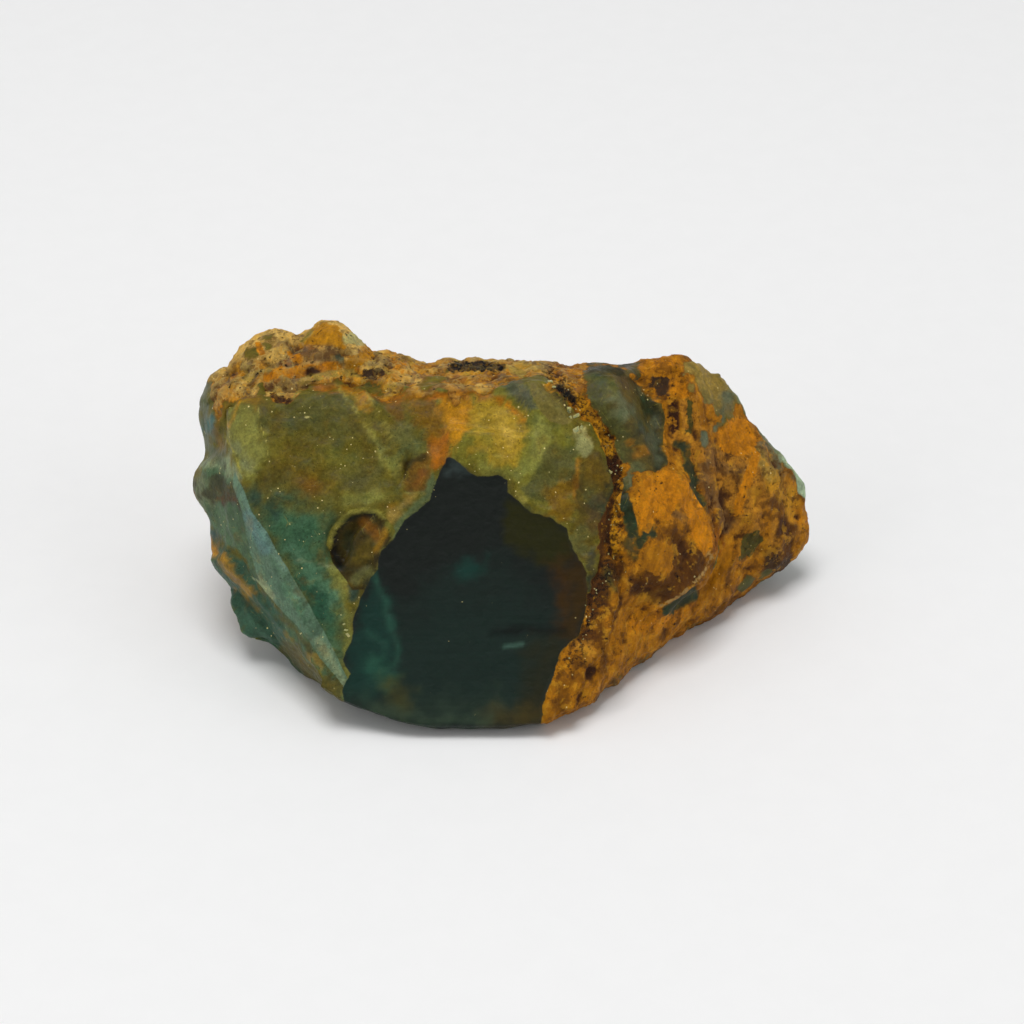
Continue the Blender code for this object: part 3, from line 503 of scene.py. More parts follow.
# What has a crisp edge, with softness 0, and the softer tints inside it
INLAY = {
    "panel_line": stroke("moss_straw", 0.1, 0, 1, (-28.7, 7.5), (-27.8, 6), (-27.1, 3.7), (-26.4, 2.8)),
    "slab_band": area("sea_sage", 0, 1,
        (-27.8, 4.2), (-26.9, 2.4), (-26, 0), (-24.5, -2.1), (-23, -4.8), (-21.5, -7.2), (-20.1, -9.6),
        (-18.8, -11.9), (-17.8, -13.8), (-16.4, -16.8), (-16.2, -18.6), (-17.6, -16.5), (-19.2, -14.6),
        (-20.3, -12.8), (-21.7, -11.2), (-23.7, -9.2), (-24.6, -8), (-25.5, -6.2), (-26.2, -4),
        (-26.6, -1.8), (-27.2, 0.7), (-28, 2.6),
    ),
    # Along the slab's right edge, by its ridge: its own ice-blue tint with a painted highlight over it,
    # then a pale painted highlight down the ridge.
    "slab_ice_tint_and_highlight": stroke("ice", 0.7, 0.6, 0.6, (-26.2, -0.4), (-25.4, -2), (-24.6, -3.6)),
    "slab_edge_highlight": stroke("pale_ice", 0.4, 0.4, 0.35,
        (-26.8, 1.8), (-26.2, 0.2), (-24.4, -2.8), (-22.8, -5.6),
    ),
    "slab_glow": stroke("sea_green", 0.5, 0.8, 0.7, (-22.8, -7.6), (-21.2, -9.8)),
    # A painted highlight along the lower end of the slab's ridge.
    "slab_foot_highlight": stroke("pale_sage", 0.35, 0.4, 0.8, (-19.4, -12.8), (-18, -15), (-16.6, -17.6)),
    "slab_line": stroke("pale_sage", 0.12, 0, 1, (-26.5, -6.4), (-25.3, -6.9), (-24.2, -8.4)),
    "panel_vein": stroke("straw", 0.09, 0, 1, (-25.4, 10.6), (-25.1, 8.5), (-24.3, 6.5), (-24.7, 5.1)),
    "face_vein": stroke("straw", 0.14, 0, 1, (-21.1, 12.3), (-22.6, 10.8)),
    "strip_vein": stroke("moss_straw", 0.1, 0, 1, (-11.1, 12.1), (-9.3, 9.3), (-8.6, 8)),
    "top_facet": area("facet_olive", 0, 1,
        (1.4, 13.2), (3.7, 12.7), (5, 11.3), (6.5, 9.6), (5.4, 8.6), (3.8, 9), (2.8, 10.1), (2.1, 11.5),
    ),
    "seam_gold": stroke("amber", 0.55, 0, 1,
        (4.1, 12.8), (5.6, 12.2), (6.5, 11.3), (7.3, 10.4), (8.5, 8.8), (9.2, 7.4), (9.8, 6),
    ),
    "seam_gold_low": stroke("amber", 0.32, 0, 1,
        (10.9, 2.7), (10.5, 1.2), (10.3, -0.6), (10.1, -2.3), (10.3, -4.3),
    ),
    "seam_hole": stroke("near_black", 0.25, 0, 1, (4.8, 12.2), (5.9, 11.2)),
    "face_chip": stroke("chip", 0.12, 0, 1, (-20.7, 9.5), (-20.3, 9.5)),
    "crest_peak": area("amber", 0, 1,
        (-21.2, 17), (-20, 18.4), (-18.6, 19), (-17.2, 18.4), (-16.4, 17), (-16.8, 16.2),
        (-18.2, 16.6), (-19.8, 16.6),
    ),
    "crest_peak_edge": stroke("umber", 0.2, 0.2, 0.9, (-18.2, 16.2), (-17.2, 16.2), (-16.5, 16)),
    "crest_moss": stroke("moss_straw", 0.35, 0.5, 0.8, (-21.2, 17), (-20.2, 18.1)),
    "crest_plum": area("plum_tan", 0, 1,
        (-21.8, 15.6), (-20, 16.3), (-18.2, 16.4), (-16.8, 15.6), (-16, 14.6), (-17.6, 14.8),
        (-19.4, 14.6), (-21.2, 14.4),
    ),
    "crest_slate": stroke("slate_green", 0.45, 0, 1, (-17.2, 15), (-16.2, 14)),
    "crest_pale": stroke("chip", 0.55, 0, 1, (-16, 17.4), (-14.8, 17), (-13.8, 16.4)),
    "crest_ear": stroke("amber", 0.6, 0, 1, (-15.8, 15), (-14.4, 15.8)),
    "crest_lip": stroke("lip", 0.16, 0, 1, (-23, 14), (-21.4, 14.4), (-19.4, 14.6), (-17.2, 14.2)),
    "crest_band": stroke("orange", 0.45, 0, 1,
        (-24.4, 13.4), (-23, 14.1), (-21.2, 13.8), (-19.4, 14), (-17.8, 14.3),
    ),
    "crest_gloom": stroke("umber", 0.35, 0, 1, (-20, 13.8), (-19.4, 13.4)),
    "crest_hollow": area("umber", 0, 1, (-24.3, 12.4), (-22.2, 11), (-23.6, 10.8), (-24.2, 11.6)),
    "crest_line": stroke("hay", 0.15, 0, 1, (-21.2, 12.8), (-18.2, 13.6), (-16, 13.8), (-13.6, 13.2)),
    "crest_orange": stroke("orange", 0.35, 0, 1, (-25, 16), (-25.4, 16.6)),
    "crest_orange_low": stroke("orange", 0.3, 0, 1, (-22.1, 15.8), (-21.6, 15.2)),
    "crest_dark": stroke("plum", 0.5, 0, 1, (-14.4, 13.8), (-13.2, 14)),
    "top_black": stroke("near_black", 0.5, 0, 1, (-6, 14.5), (-3.4, 14.6), (-1, 14.5)),
    "top_orange": stroke("hay", 0.4, 0, 1, (0, 14.2), (1, 13.8)),
    "dome_vein": stroke("ochre", 0.28, 0, 1,
        (12, 13.6), (13.1, 12.6), (14.1, 11.4), (15.4, 11), (15.6, 10.1), (15.4, 7.2), (15.9, 5.6),
    ),
    "tail_hole": area("plum", 0, 1,
        (13.9, 13.5), (15.6, 13.6), (16.2, 12.6), (15.9, 11.5), (14.7, 11.7), (13.9, 12.6),
    ),
    "tail_orange": area("bright_ochre", 0, 1,
        (16.3, 13.2), (17.5, 12.9), (17.7, 11.3), (16.7, 11.4), (16, 12.1),
    ),
    "stripe_light": stroke("ochre", 0.25, 0, 1, (16.5, 11), (16.8, 7.8)),
    "stripe_light_right": stroke("ochre", 0.3, 0, 1, (18.8, 11), (19.3, 8.6)),
    "stripe_dark": stroke("dark_olive", 0.3, 0, 1, (17.8, 10.8), (17.8, 8)),
    "stripe_dark_left": stroke("umber", 0.2, 0, 1, (16.1, 10.8), (16.2, 8)),
    "right_bright": area("bright_ochre", 0, 1,
        (20.1, 7.9), (21.3, 8.3), (22.2, 9.6), (23.5, 9), (24.5, 7.2), (24, 5.7), (22.4, 5.7), (20.9, 6),
    ),
    "right_stripe": stroke("bright_ochre", 0.45, 0, 1, (24.4, 5.7), (23.8, 3.8), (23.1, 2), (22.5, 0)),
    "right_olive": area("dark_olive", 0, 1,
        (23, -2.4), (24.6, -1.8), (25.2, -2.8), (23.8, -4.4), (22.6, -4.8),
    ),
    "nose_light": area("bright_ochre", 0, 1,
        (12.8, 3), (14.6, 4.2), (16.4, 4.2), (17.3, 2.2), (16.4, 0.7), (15.7, -1), (14.4, -0.7),
        (13.6, -2.2), (12.6, -1.6), (12.2, 0.2),
    ),
    "nose_arm": area("bright_ochre", 0, 1,
        (17.2, 3.8), (18, 2), (19.4, 0), (20.2, -3.3), (19.4, -4.8), (18.2, -2.8), (17.4, -0.4),
        (16.6, 1.2),
    ),
    "nose_mid": area("ochre", 0, 1,
        (13.2, -3.6), (14.6, -2.6), (16.2, -3.6), (16, -5.8), (14.4, -6.4), (13, -5.4),
    ),
    "nose_lip": stroke("lip", 0.11, 0, 1,
        (19.9, -4.4), (19.2, -5.9), (18.3, -7.1), (16.7, -8.4), (14.9, -9.4),
    ),
    "skirt_gold": area("ochre", 0, 1,
        (22.2, -2.8), (21.8, -4.8), (21, -7.8), (19.2, -8.6), (18.6, -7.8), (20, -5.8), (21.2, -3.6),
    ),
    "cup": area("cup_olive", 0, 1,
        (-18.5, -3.2), (-18.1, -1.8), (-17.2, -0.6), (-16.2, 0), (-15, 0.3), (-13.6, 0.2),
        (-12.8, -0.4), (-12, -1.2), (-11.6, -2), (-12.4, -3), (-13.3, -4.4), (-13.8, -6.2),
        (-14.6, -7.8), (-16, -7.8), (-16.9, -6.4), (-18, -5),
    ),
    "cup_floor": stroke("bark_olive", 0.9, 0.9, 0.8, (-15.2, -4.4), (-14, -3.4)),
    # A painted shadow on the cup's steep upper left wall.
    "cup_shadow": stroke("near_black", 0.45, 0.8, 0.95,
        (-17.2, -5.4), (-18, -3.8), (-17.8, -2), (-16.8, -0.7), (-15.4, 0), (-13.8, 0),
    ),
    "cup_green": stroke("black_green", 0.5, 0.7, 0.8, (-16.4, -2.2), (-16, -4)),
    "cup_rust": stroke("rust_olive", 0.5, 0.6, 0.95, (-14.8, -1), (-13.8, -1.8), (-13.2, -2.8)),
    "cup_gold": stroke("amber_olive", 0.3, 0.4, 0.8, (-12.6, -1.8), (-13, -2.8), (-13.6, -3.8)),
    "cup_crumb": stroke("moss", 0.5, 0.5, 0.8, (-12.2, -1.2), (-11.8, -2)),
    "cup_foot": stroke("moss_grey", 0.6, 0.6, 0.8, (-15.6, -6.8), (-14.4, -6)),
    # A painted highlight along the cup's upper rim.
    "cup_rim_highlight": stroke("moss_straw", 0.08, 0, 1,
        (-18.5, -3.4), (-18.3, -2.1), (-17.3, -0.7), (-16.2, 0.1), (-14.9, 0.4), (-13.5, 0.3),
        (-12.7, -0.2),
    ),
}
# The rim of the bare window in the rind, clockwise from its lower left
RIM = [
    (-17, -17.8), (-16.2, -16.2), (-17, -14.8), (-16, -12.8), (-15.9, -10.6), (-14.6, -7.4),
    (-13.5, -5.6), (-13.2, -4), (-11.8, -2.6), (-10.8, -0.8), (-9.4, 0.2), (-8.2, 1.2), (-7.6, 3.2),
    (-6.4, 5.7), (-5.4, 5), (-4.2, 4), (-3.4, 3.6), (-1.2, 3.7), (-0.4, 3.2), (-0.4, 2),
    (0.6, 1.2), (1.8, 0), (3.8, -0.5), (5.4, -1.6), (6.1, -3.6), (7.4, -6), (7.6, -8.8), (6.8, -12.2),
    (5, -13.8), (4, -16.8), (3.1, -19.3), (2.8, -26), (-16, -26),
]
FACE_POINT = Vector((-0.6, -18.93, 2.4))  # a point of the window's flat face
FACE_NORMAL = Vector((0, -0.79, 0.614)).normalized()
# The rotted seam between the fluorite and the crust, from the top down
SEAM = [
    (4, 13.6), (7.4, 10.2), (9.4, 7.2), (10.6, 4.6), (10.9, 2.3), (10.3, -0.2), (10.2, -4.4),
    (9.2, -6.7), (8.2, -8.6), (7.7, -11.5), (5.6, -15),
]
# The middle of the crest, whose crust is lumpy
CREST = [(-30, 11), (-22, 14.5), (-12, 14.5), (-2, 13.6), (5, 13.6)]
# Clean cleavage faces, ground flat as they lie
FACETS = {
    "slab": [
        (-26.5, 2.9), (-25, -1.7), (-21.8, -7.8), (-19, -13.6), (-16.4, -18.1), (-17.3, -16.9),
        (-24, -9.3), (-27.5, -3.6), (-28.6, 0.5),
    ],
    "heel": [(-29.8, -4.5), (-27.8, -4.2), (-24.3, -9.8), (-17.8, -17.3), (-21, -17.5), (-27, -11.6)],
    "teal_face": [
        (-24.7, -1.6), (-20, 0.2), (-18.7, -1.2), (-18.4, -5.6), (-16.5, -8.6), (-16.6, -13.8),
        (-16.6, -17.4), (-18.9, -13.2), (-21.6, -7.4),
    ],
    "olive_face": [
        (-24, 10.8), (-17, 12.4), (-13.9, 8.6), (-11.7, 4.2), (-12.8, -0.4), (-18, 0.6), (-24.2, 1.4),
        (-24.5, 4.5), (-23.9, 7),
    ],
    "panel": [(-27.9, 9.9), (-25.3, 10.9), (-24.3, 7), (-24.9, 4.4), (-26.6, 2.8), (-27.9, 4.5)],
    "brown_face": [(-16.2, 12.5), (-10.2, 11.9), (-8.4, 7.6), (-10.8, 5.2), (-11.4, 4.6), (-13.6, 8.8)],
    "honey_face": [
        (-6.6, 11.4), (1, 11.6), (2.6, 8.2), (2, 5.2), (-0.5, 4.4), (-4.4, 4.9), (-6.8, 6.5),
    ],
    "top_face": [(1.7, 12.8), (4, 12.8), (6.4, 10), (7.4, 8.4), (5.4, 8.4), (3.7, 9.6)],
    "green_face": [
        (3, 8.2), (5.9, 7.6), (6.1, 2), (5, -1.2), (3.8, 0), (1.8, 0.8), (0.2, 2.8), (2.2, 5),
    ],
    "lens": [
        (6.6, 4.2), (8.6, 6), (9.8, 3.4), (9.6, -0.8), (7.8, -4.2), (6, -4.4), (5.6, -2), (6.3, 2),
    ],
    "dome_face": [(8.4, 13.4), (13.4, 13.6), (14.6, 10.8), (15.2, 6), (13.6, 5), (11.2, 7), (9.8, 9.6)],
    "tail_face": [(17.6, 13.8), (20.4, 13.8), (22.6, 10.8), (24.2, 7.6), (21.6, 7.2), (19.6, 10)],
}
# Crisp ledges: (path, rise on its left, drop on its right)
LEDGES = {
    "slab_ridge": ([
        (-26.5, 2.9), (-25, -1.7), (-21.8, -7.8), (-19, -13.6), (-16.4, -18.1),
    ], -0.25, -0.25),
    "heel_groove": ([(-23, -14.6), (-27.4, -9.4), (-30, -5)], 0.1, 0.3),
    "face_step": ([(-16.7, 12.7), (-13.8, 8.8), (-11.6, 4.4), (-11.2, 2)], -0.2, 0.1),
    "crest_brow": ([
        (-29, 11.2), (-25, 12.6), (-21, 12.7), (-17.5, 13.3), (-13, 12.6), (-9.2, 11.7), (-3.7, 11.9),
        (1.6, 12.4),
    ], 0.25, 0.2),
    "nose_edge": ([(14.7, -9.6), (17, -8.2), (19.2, -6.6), (20.1, -4.6), (20, -0.8)], 0.3, 0.25),
    "shoulder": ([(17, 13.6), (18.6, 10.4), (18.4, 7), (19, 2)], 0.2, 0.25),
    "tail_fold": ([(27, 3.6), (24.6, 0.6), (22.6, -3.4), (20.6, -6.4)], 0.2, 0.25),
}
# Low swellings and dents: (centre, radius, height)
MOUNDS = {
    "tail_hole": ((15, 12.6), 0.9, -0.5),
    "corner_pit": ((7.9, -15.9), 0.7, -0.4),
    "left_shoulder": ((-28.8, 14.2), 2.2, 1.1),
    "left_shell": ((-29.6, 10), 2.4, 1),
    "left_end": ((-30, -5), 2.5, 0.5),
    "dome": ((10.8, 9), 3.2, 0.4),
}
# Places evened out before the relief is cut: the round cup, and the hollow beside the seam
EVENED = {
    "cup": [
        (-18.4, -3.2), (-17.6, -1.2), (-16.2, 0), (-13.6, 0.2), (-12.2, -1.4), (-13.4, -4), (-16, -6),
    ],
    "hollow": [
        (9.2, -4), (12, -4), (11.9, -8.8), (11, -12.8), (8.8, -15.8), (6.4, -15.8), (7.4, -12.8),
        (9, -9.8),
    ],
}


# ---------------------------------------------------------------- sizes and colours to change
def millimetres(name, description, default):
    """A length property. Its default is given in millimetres and kept in metres."""
    return FloatProperty(
        name=name, description=description, default=default * MM, min=0.0, unit="LENGTH", precision=5
    )


def fraction(name, description, default):
    """A property from 0 to 1."""
    return FloatProperty(
        name=name, description=description, default=default, min=0.0, max=1.0, subtype="FACTOR"
    )


def watts(name, description, default):
    """The power of a light."""
    return FloatProperty(name=name, description=description, default=default, min=0.0, unit="POWER")


def tint(name, description, colour):
    """A colour property."""
    return FloatVectorProperty(
        name=name, description=description, default=colour, size=3, min=0.0, max=1.0, subtype="COLOR"
    )


def linear(shade):
    """A colour as it looks, 0 to 255, as the amounts of light that a shader takes."""
    parts = [part / 255 for part in shade]
    return tuple(p / 12.92 if p <= 0.04045 else ((p + 0.055) / 1.055) ** 2.4 for p in parts)


def own_colour(shade):
    """The stone's own colour where it looks like this: without its gloss, in the floor's light."""
    return tuple(max(part - SHEEN, 0.002) / LIT for part in linear(PALETTE[shade]))


def opaque(shade):
    """A colour of the palette as a colour socket takes it."""
    return (*own_colour(shade), 1.0)


class FluoriteShape(bpy.types.PropertyGroup):
    grain: millimetres("Grain", "Side of a face of the stone's skin", 0.295)
    polish: IntProperty(
        name="Polish", description="Rounds of smoothing before the relief", default=10, min=0
    )
    rind_step: millimetres("Rind step", "How far the rind stands above the window", 0.62)
    crest_relief: millimetres("Crest relief", "Height of the lumps in the crest's crust", 0.5)
    crust_relief: millimetres("Crust relief", "Height of the unevenness of the tail's crust", 0.4)
    face_relief: millimetres("Face relief", "Height of the ripples of the clean fluorite", 0.16)
    flatness: fraction("Flatness", "How far the clean faces are ground flat", 0.75)
    seam_depth: millimetres("Seam depth", "How far the rotted seam is sunk", 0.35)
    chip_size: millimetres("Chip size", "Length of the larger crystal chips", 0.9)


class FluoriteFinish(bpy.types.PropertyGroup):
    navy: tint("Window", "The clean dark crystal of the window", own_colour("navy"))
    olive: tint("Olive", "The rind of the front face", own_colour("olive"))
    green_teal: tint("Green teal", "The lower left of the front face", own_colour("green_teal"))
    sage: tint("Sage", "The pale slab down the left end", own_colour("sage"))
    honey: tint("Honey", "The rind where it is stained yellow", own_colour("honey"))
    ochre: tint("Ochre", "The crust's own colour", own_colour("ochre"))
    brown: tint("Brown", "The crust's darker patches", own_colour("brown"))
    clarity: fraction("Clarity", "Share of the light that goes into the fluorite and comes back", 0.25)


class FluoriteStage(bpy.types.PropertyGroup):
    floor: tint("Floor", "The pale floor", linear(PALETTE["floor"]))
    floor_size: FloatProperty(
        name="Floor size", description="Side of the floor", default=6.0, min=1.0, unit="LENGTH"
    )
    lens: FloatProperty(
        name="Lens", description="Focal length in millimetres", default=100.0, min=1.0, unit="CAMERA"
    )
    key_power: watts("Key", "Power of the soft light overhead, in watts", 3.9)
    fill_power: watts("Fill", "Power of each of the two side lights, in watts", 0.8)


# ---------------------------------------------------------------- shader sums
class Wire:
    """A shader socket that takes part in plain sums, each of which adds its Math node."""

    def __init__(self, nodes, socket):
        self.nodes = nodes
        self.socket = socket

    def sum(self, operation, first, second):
        return self.nodes.add("ShaderNodeMath", {"operation": operation}, {0: first, 1: second})

    def __add__(self, other):
        return self.sum("ADD", self, other)

    def __sub__(self, other):
        return self.sum("SUBTRACT", self, other)

    def __rsub__(self, other):
        return self.sum("SUBTRACT", other, self)

    def __mul__(self, other):
        return self.sum("MULTIPLY", self, other)

    def larger(self, other):
        return self.sum("MAXIMUM", self, other)

    __radd__ = __add__
    __rmul__ = __mul__


class Nodes:
    """The nodes of a new material or world."""

    def __init__(self, owner):
        owner.use_nodes = True
        self.owner = owner
        self.tree = owner.node_tree
        self.tree.nodes.clear()

    def add(self, kind, settings=None, inputs=None, output=0):
        """Adds a node: its settings first, then a value or a wire for each of its sockets."""
        node = self.tree.nodes.new(kind)
        for name, value in (settings or {}).items():
            setattr(node, name, value)
        for name, value in (inputs or {}).items():
            if isinstance(value, Wire):
                self.tree.links.new(value.socket, node.inputs[name])
            else:
                node.inputs[name].default_value = value
        return Wire(self, node.outputs[output]) if node.outputs else None

    def step(self, value, low, high, bottom=0.0, top=1.0):
        """Goes smoothly from bottom, at or below low, to top, at or above high."""
        sockets = {"Value": value, "From Min": low, "From Max": high, "To Min": bottom, "To Max": top}
        return self.add("ShaderNodeMapRange", {"interpolation_type": "SMOOTHSTEP"}, sockets)

    def scale(self, vector, amount):
        """A place or a colour times a number: 1 leaves it as it is."""
        return self.add("ShaderNodeVectorMath", {"operation": "SCALE"}, {0: vector, "Scale": amount})

    def finish(self, shader, kind="Material"):
        self.add(f"ShaderNodeOutput{kind}", {}, {"Surface": shader})
        return self.owner


class MaterialNodes(Nodes):
    """The nodes of a new material. Sizes are in millimetres, on the piece's own place."""

    def __init__(self, name):
        super().__init__(bpy.data.materials.new(name))
        self.place = self.scale(self.add("ShaderNodeTexCoord", output="Object"), 1 / MM)

    def attribute(self, name, output="Fac"):
        return self.add("ShaderNodeAttribute", {"attribute_name": name}, output=output)

    def tint(self, name):
        return self.attribute(name, "Color")

    def noise(self, size, detail=3.0, rough=0.6, place=None):
        """Noise from 0 to 1, and mostly from 0.3 to 0.7, whose swells are about size across."""
        sockets = {"Vector": place or self.place, "Scale": 1 / size, "Detail": detail, "Roughness": rough}
        return self.add("ShaderNodeTexNoise", {}, sockets, "Fac")

    def mapped(self, **inputs):
        """The place, stretched and turned."""
        return self.add("ShaderNodeMapping", {"vector_type": "TEXTURE"}, {"Vector": self.place, **inputs})

    def voronoi(self, size, **settings):
        """How far from a Voronoi cell's point, or from its edge, in shares of size."""
        return self.add("ShaderNodeTexVoronoi", settings, {"Vector": self.place, "Scale": 1 / size})

    def flecks(self, spacing, size):
        """1 on square flecks up to size across, no two alike, and 0 between them."""
        reach = self.step(self.noise(spacing), 0.35, 0.65, 0.1, 0.5) * (size / spacing)
        return self.step(self.voronoi(spacing, distance="CHEBYCHEV") - reach, 0.02, 0.0)

    def mottle(self, pattern, spread, low=0.3, high=0.7):
        """A brightness from 1 - spread to 1 + spread, as a pattern goes from low to high."""
        return self.step(pattern, low, high, 1 - spread, 1 + spread)

    def mix(self, share, first, second):
        return self.add("ShaderNodeMix", {"data_type": "RGBA"}, {0: share, 6: first, 7: second}, 2)

    def over(self, base, shade, share):
        """A base with a colour of the palette over it, as far as share says."""
        return self.mix(share, base, opaque(shade))

    def principled(self, sockets):
        return self.add("ShaderNodeBsdfPrincipled", {}, sockets)

    def bump(self, height, depth, normal=None):
        """A bump whose full height is depth."""
        sockets = {"Height": height, "Distance": depth * MM, "Strength": 1.0}
        if normal:
            sockets["Normal"] = normal
        return self.add("ShaderNodeBump", {}, sockets)


# ---------------------------------------------------------------- working by hand
def only(piece):
    """Selects one piece and nothing else."""
    bpy.ops.object.select_all(action="DESELECT")
    piece.select_set(True)
    bpy.context.view_layer.objects.active = piece


def with_modifier(piece, kind, **settings):
    """Adds a modifier to a piece and applies it."""
    only(piece)
    bpy.ops.object.modifier_add(type=kind)
    modifier = piece.modifiers[-1]
    for name, value in settings.items():
        setattr(modifier, name, value)
    bpy.ops.object.modifier_apply(modifier=modifier.name)


def merge_doubles(piece):
    """Merges the vertices that lie on each other."""
    only(piece)
    bpy.ops.object.mode_set(mode="EDIT")
    bpy.ops.mesh.select_all(action="SELECT")
    bpy.ops.mesh.remove_doubles(threshold=0.0001)
    bpy.ops.object.mode_set(mode="OBJECT")


def join(name, pieces):
    """Several pieces as one, with its origin at the world's."""
    bpy.ops.object.select_all(action="DESELECT")
    for piece in pieces:
        piece.select_set(True)
    bpy.context.view_layer.objects.active = pieces[0]
    bpy.ops.object.join()
    whole = bpy.context.object
    bpy.ops.object.transform_apply(location=True, rotation=True, scale=True)
    whole.name = whole.data.name = name
    return whole


# ---------------------------------------------------------------- measuring on the chart
def smooth(value, low, high):
    """0 at or below low and 1 at or above high, going smoothly between them."""
    share = np.clip((value - low) / (high - low), 0, 1)
    return share * share * (3 - 2 * share)


# Each shift below takes its noise from elsewhere, so that no two patterns are alike.
def swells(points, size, octaves=3, shift=0.0):
    """Noise from about -1 to 1 at each point, in swells about size across."""
    places = points / size + shift
    return np.array([noise.fractal(Vector(p), 0.8, 2.0, octaves) for p in places])


KNOB_SLOPE = 0.7  # how far a knob's side reaches, in shares of its size
SCATTER = np.array((12.99, 78.23, 37.72))  # makes a knob's middle a number that looks drawn by chance


def knobs(points, size, shift):
    """Round knobs about size across: 0 in the creases between them to 1 on top, and a draw for each."""
    found = [noise.voronoi(Vector(p)) for p in points / size + shift]
    near = np.array([gaps for gaps, _ in found])
    middles = np.array([places[0] for _, places in found])
    rise = np.clip(near[:, 1] - near[:, 0], 0, KNOB_SLOPE) / KNOB_SLOPE
    return rise * (2 - rise), (middles @ SCATTER) % 1.0


def chart_of(points):
    """Each point's place on the chart."""
    reach = points - np.array(EYE)
    depth = reach @ np.array(AHEAD)
    across, up = reach[:, 0], reach @ np.array(UP)
    return LOOK_DISTANCE * np.column_stack([across / depth, up / depth])


def to_path(chart, path, closed=False):
    """Distance of each place from a path, and which side of it the place is on: 1 for the left."""
    path = np.array(path)
    distance, side = np.full(len(chart), np.inf), np.zeros(len(chart))
    ends = np.roll(path, -1, axis=0) if closed else path[1:]
    for start, end in zip(path, ends):
        way = end - start
        share = np.clip((chart - start) @ way / (way @ way), 0, 1)
        gap = chart - start - share[:, None] * way
        found = np.linalg.norm(gap, axis=1)
        nearer = found < distance
        distance[nearer] = found[nearer]
        side[nearer] = np.sign(way[0] * gap[nearer, 1] - way[1] * gap[nearer, 0])
    return distance, side


def inside(chart, outline):
    """How far inside a closed outline each place lies, or minus how far outside."""
    within = np.zeros(len(chart), bool)
    for (x0, y0), (x1, y1) in zip(outline, outline[1:] + outline[:1]):
        crosses = (y0 > chart[:, 1]) != (y1 > chart[:, 1])
        meets = x0 + (chart[:, 1] - y0) * (x1 - x0) / (y1 - y0 or 1)
        within ^= crosses & (chart[:, 0] < meets)
    distance, _ = to_path(chart, outline, closed=True)
    return np.where(within, distance, -distance)


def depth_in(patch, places):
    """How far inside a patch each place lies, or minus how far outside."""
    if patch["width"]:
        return patch["width"] - to_path(places, patch["points"])[0]
    return inside(places, list(patch["points"]))


FRAYED = 0.6  # the softness from which an edge is fully frayed


def share_of(patch, skin, blur):
    """How much of a patch's colour each point takes. A soft edge is frayed, and a crisp one is not."""
    crisp = 1 - min(patch["soft"] / FRAYED, 1)
    places = skin.wandering + 0.8 * crisp * (skin.chart - skin.wandering)
    fray = (0.4 + 0.7 * patch["width"] if patch["width"] else 0.9) * (1 - 0.8 * crisp)
    soft = blur * patch["soft"] / 2
    return patch["strength"] * smooth(depth_in(patch, places) + fray * skin.frays, -soft, soft)


# ---------------------------------------------------------------- the stone's relief
TURNED = (-0.35, -0.15)  # cosines between which a point turns out of the chart's sight


class Skin:
    """The skin's points in millimetres, and what is known at each: its place on the chart and so on."""

    def __init__(self, piece):
        self.mesh = piece.data
        self.points = self.read("co")
        self.measure()
        towards = np.array(EYE) - self.points
        towards /= np.linalg.norm(towards, axis=1)[:, None]
        self.front = smooth(np.sum(self.normals * towards, axis=1), *TURNED)

    def read(self, what):
        """The mesh's own points or normals."""
        values = np.empty(len(self.mesh.vertices) * 3)
        self.mesh.vertices.foreach_get(what, values)
        return values.reshape(-1, 3)

    def measure(self):
        """Works out the normals, the places on the chart and the raggedness of edges."""
        self.normals = self.read("normal")
        self.chart = chart_of(self.points)
        wander = np.array([noise.noise_vector(Vector(p)) for p in self.points / 2.4])
        ragged = np.array([noise.noise_vector(Vector(p)) for p in self.points / 0.8])
        self.wandering = self.chart + 0.6 * wander[:, :2] + 0.3 * ragged[:, :2]
        self.frays = swells(self.points, 1.5, 4, 12.3)
        self.rim = inside(self.chart + 0.14 * ragged[:, :2], RIM)

    def move(self, heights):
        """Moves each point along its normal."""
        self.points = self.points + self.normals * heights[:, None]
        self.write()

    def write(self):
        self.mesh.vertices.foreach_set("co", self.points.ravel())
        self.mesh.update()

    def levelled(self, rounds):
        """The points, each moved to the middle of its neighbours so many times."""
        pairs = np.empty(len(self.mesh.edges) * 2, np.int64)
        self.mesh.edges.foreach_get("vertices", pairs)
        first, second = pairs.reshape(-1, 2).T
        here, there = np.concatenate([first, second]), np.concatenate([second, first])
        count = np.bincount(here)
        level = self.points
        for _ in range(rounds):
            level = np.column_stack([np.bincount(here, axis[there]) / count for axis in level.T])
        return level

    def hollows(self, rounds):
        """How far each point lies below the skin round it, in millimetres."""
        return np.sum((self.levelled(rounds) - self.points) * self.normals, axis=1)

    def keep(self, name, values):
        """Stores a number or a colour for each point."""
        kind, field = "FLOAT", "value"
        if values.ndim == 2:
            kind, field = "FLOAT_COLOR", "color"
            values = np.column_stack([values, np.ones(len(values))])
        layer = self.mesh.attributes.new(name, kind, "POINT")
        layer.data.foreach_set(field, values.astype(np.float32).ravel())


def crust_cover(skin):
    """1 where there is crust and 0 where the fluorite is bare."""
    cover = np.zeros(len(skin.points))
    for patch in COVER.values():
        share = share_of(patch, skin, 2.0)
        cover += share * (patch["colour"] - cover)
    broad, fine = swells(skin.points, 8.0, shift=3.7), swells(skin.points, 2.0, shift=9.1)
    back = smooth(broad + 0.5 * fine + 0.06 * (skin.points[:, 2] - 11), -0.2, 0.15)
    return back + skin.front * (cover - back)


WINDOW_REACH = 3.0  # how far round and under the window's flat face the skin may be moved
FACE_LEAN = 0.35  # the least cosine between a point's normal and the face's, for it to be moved


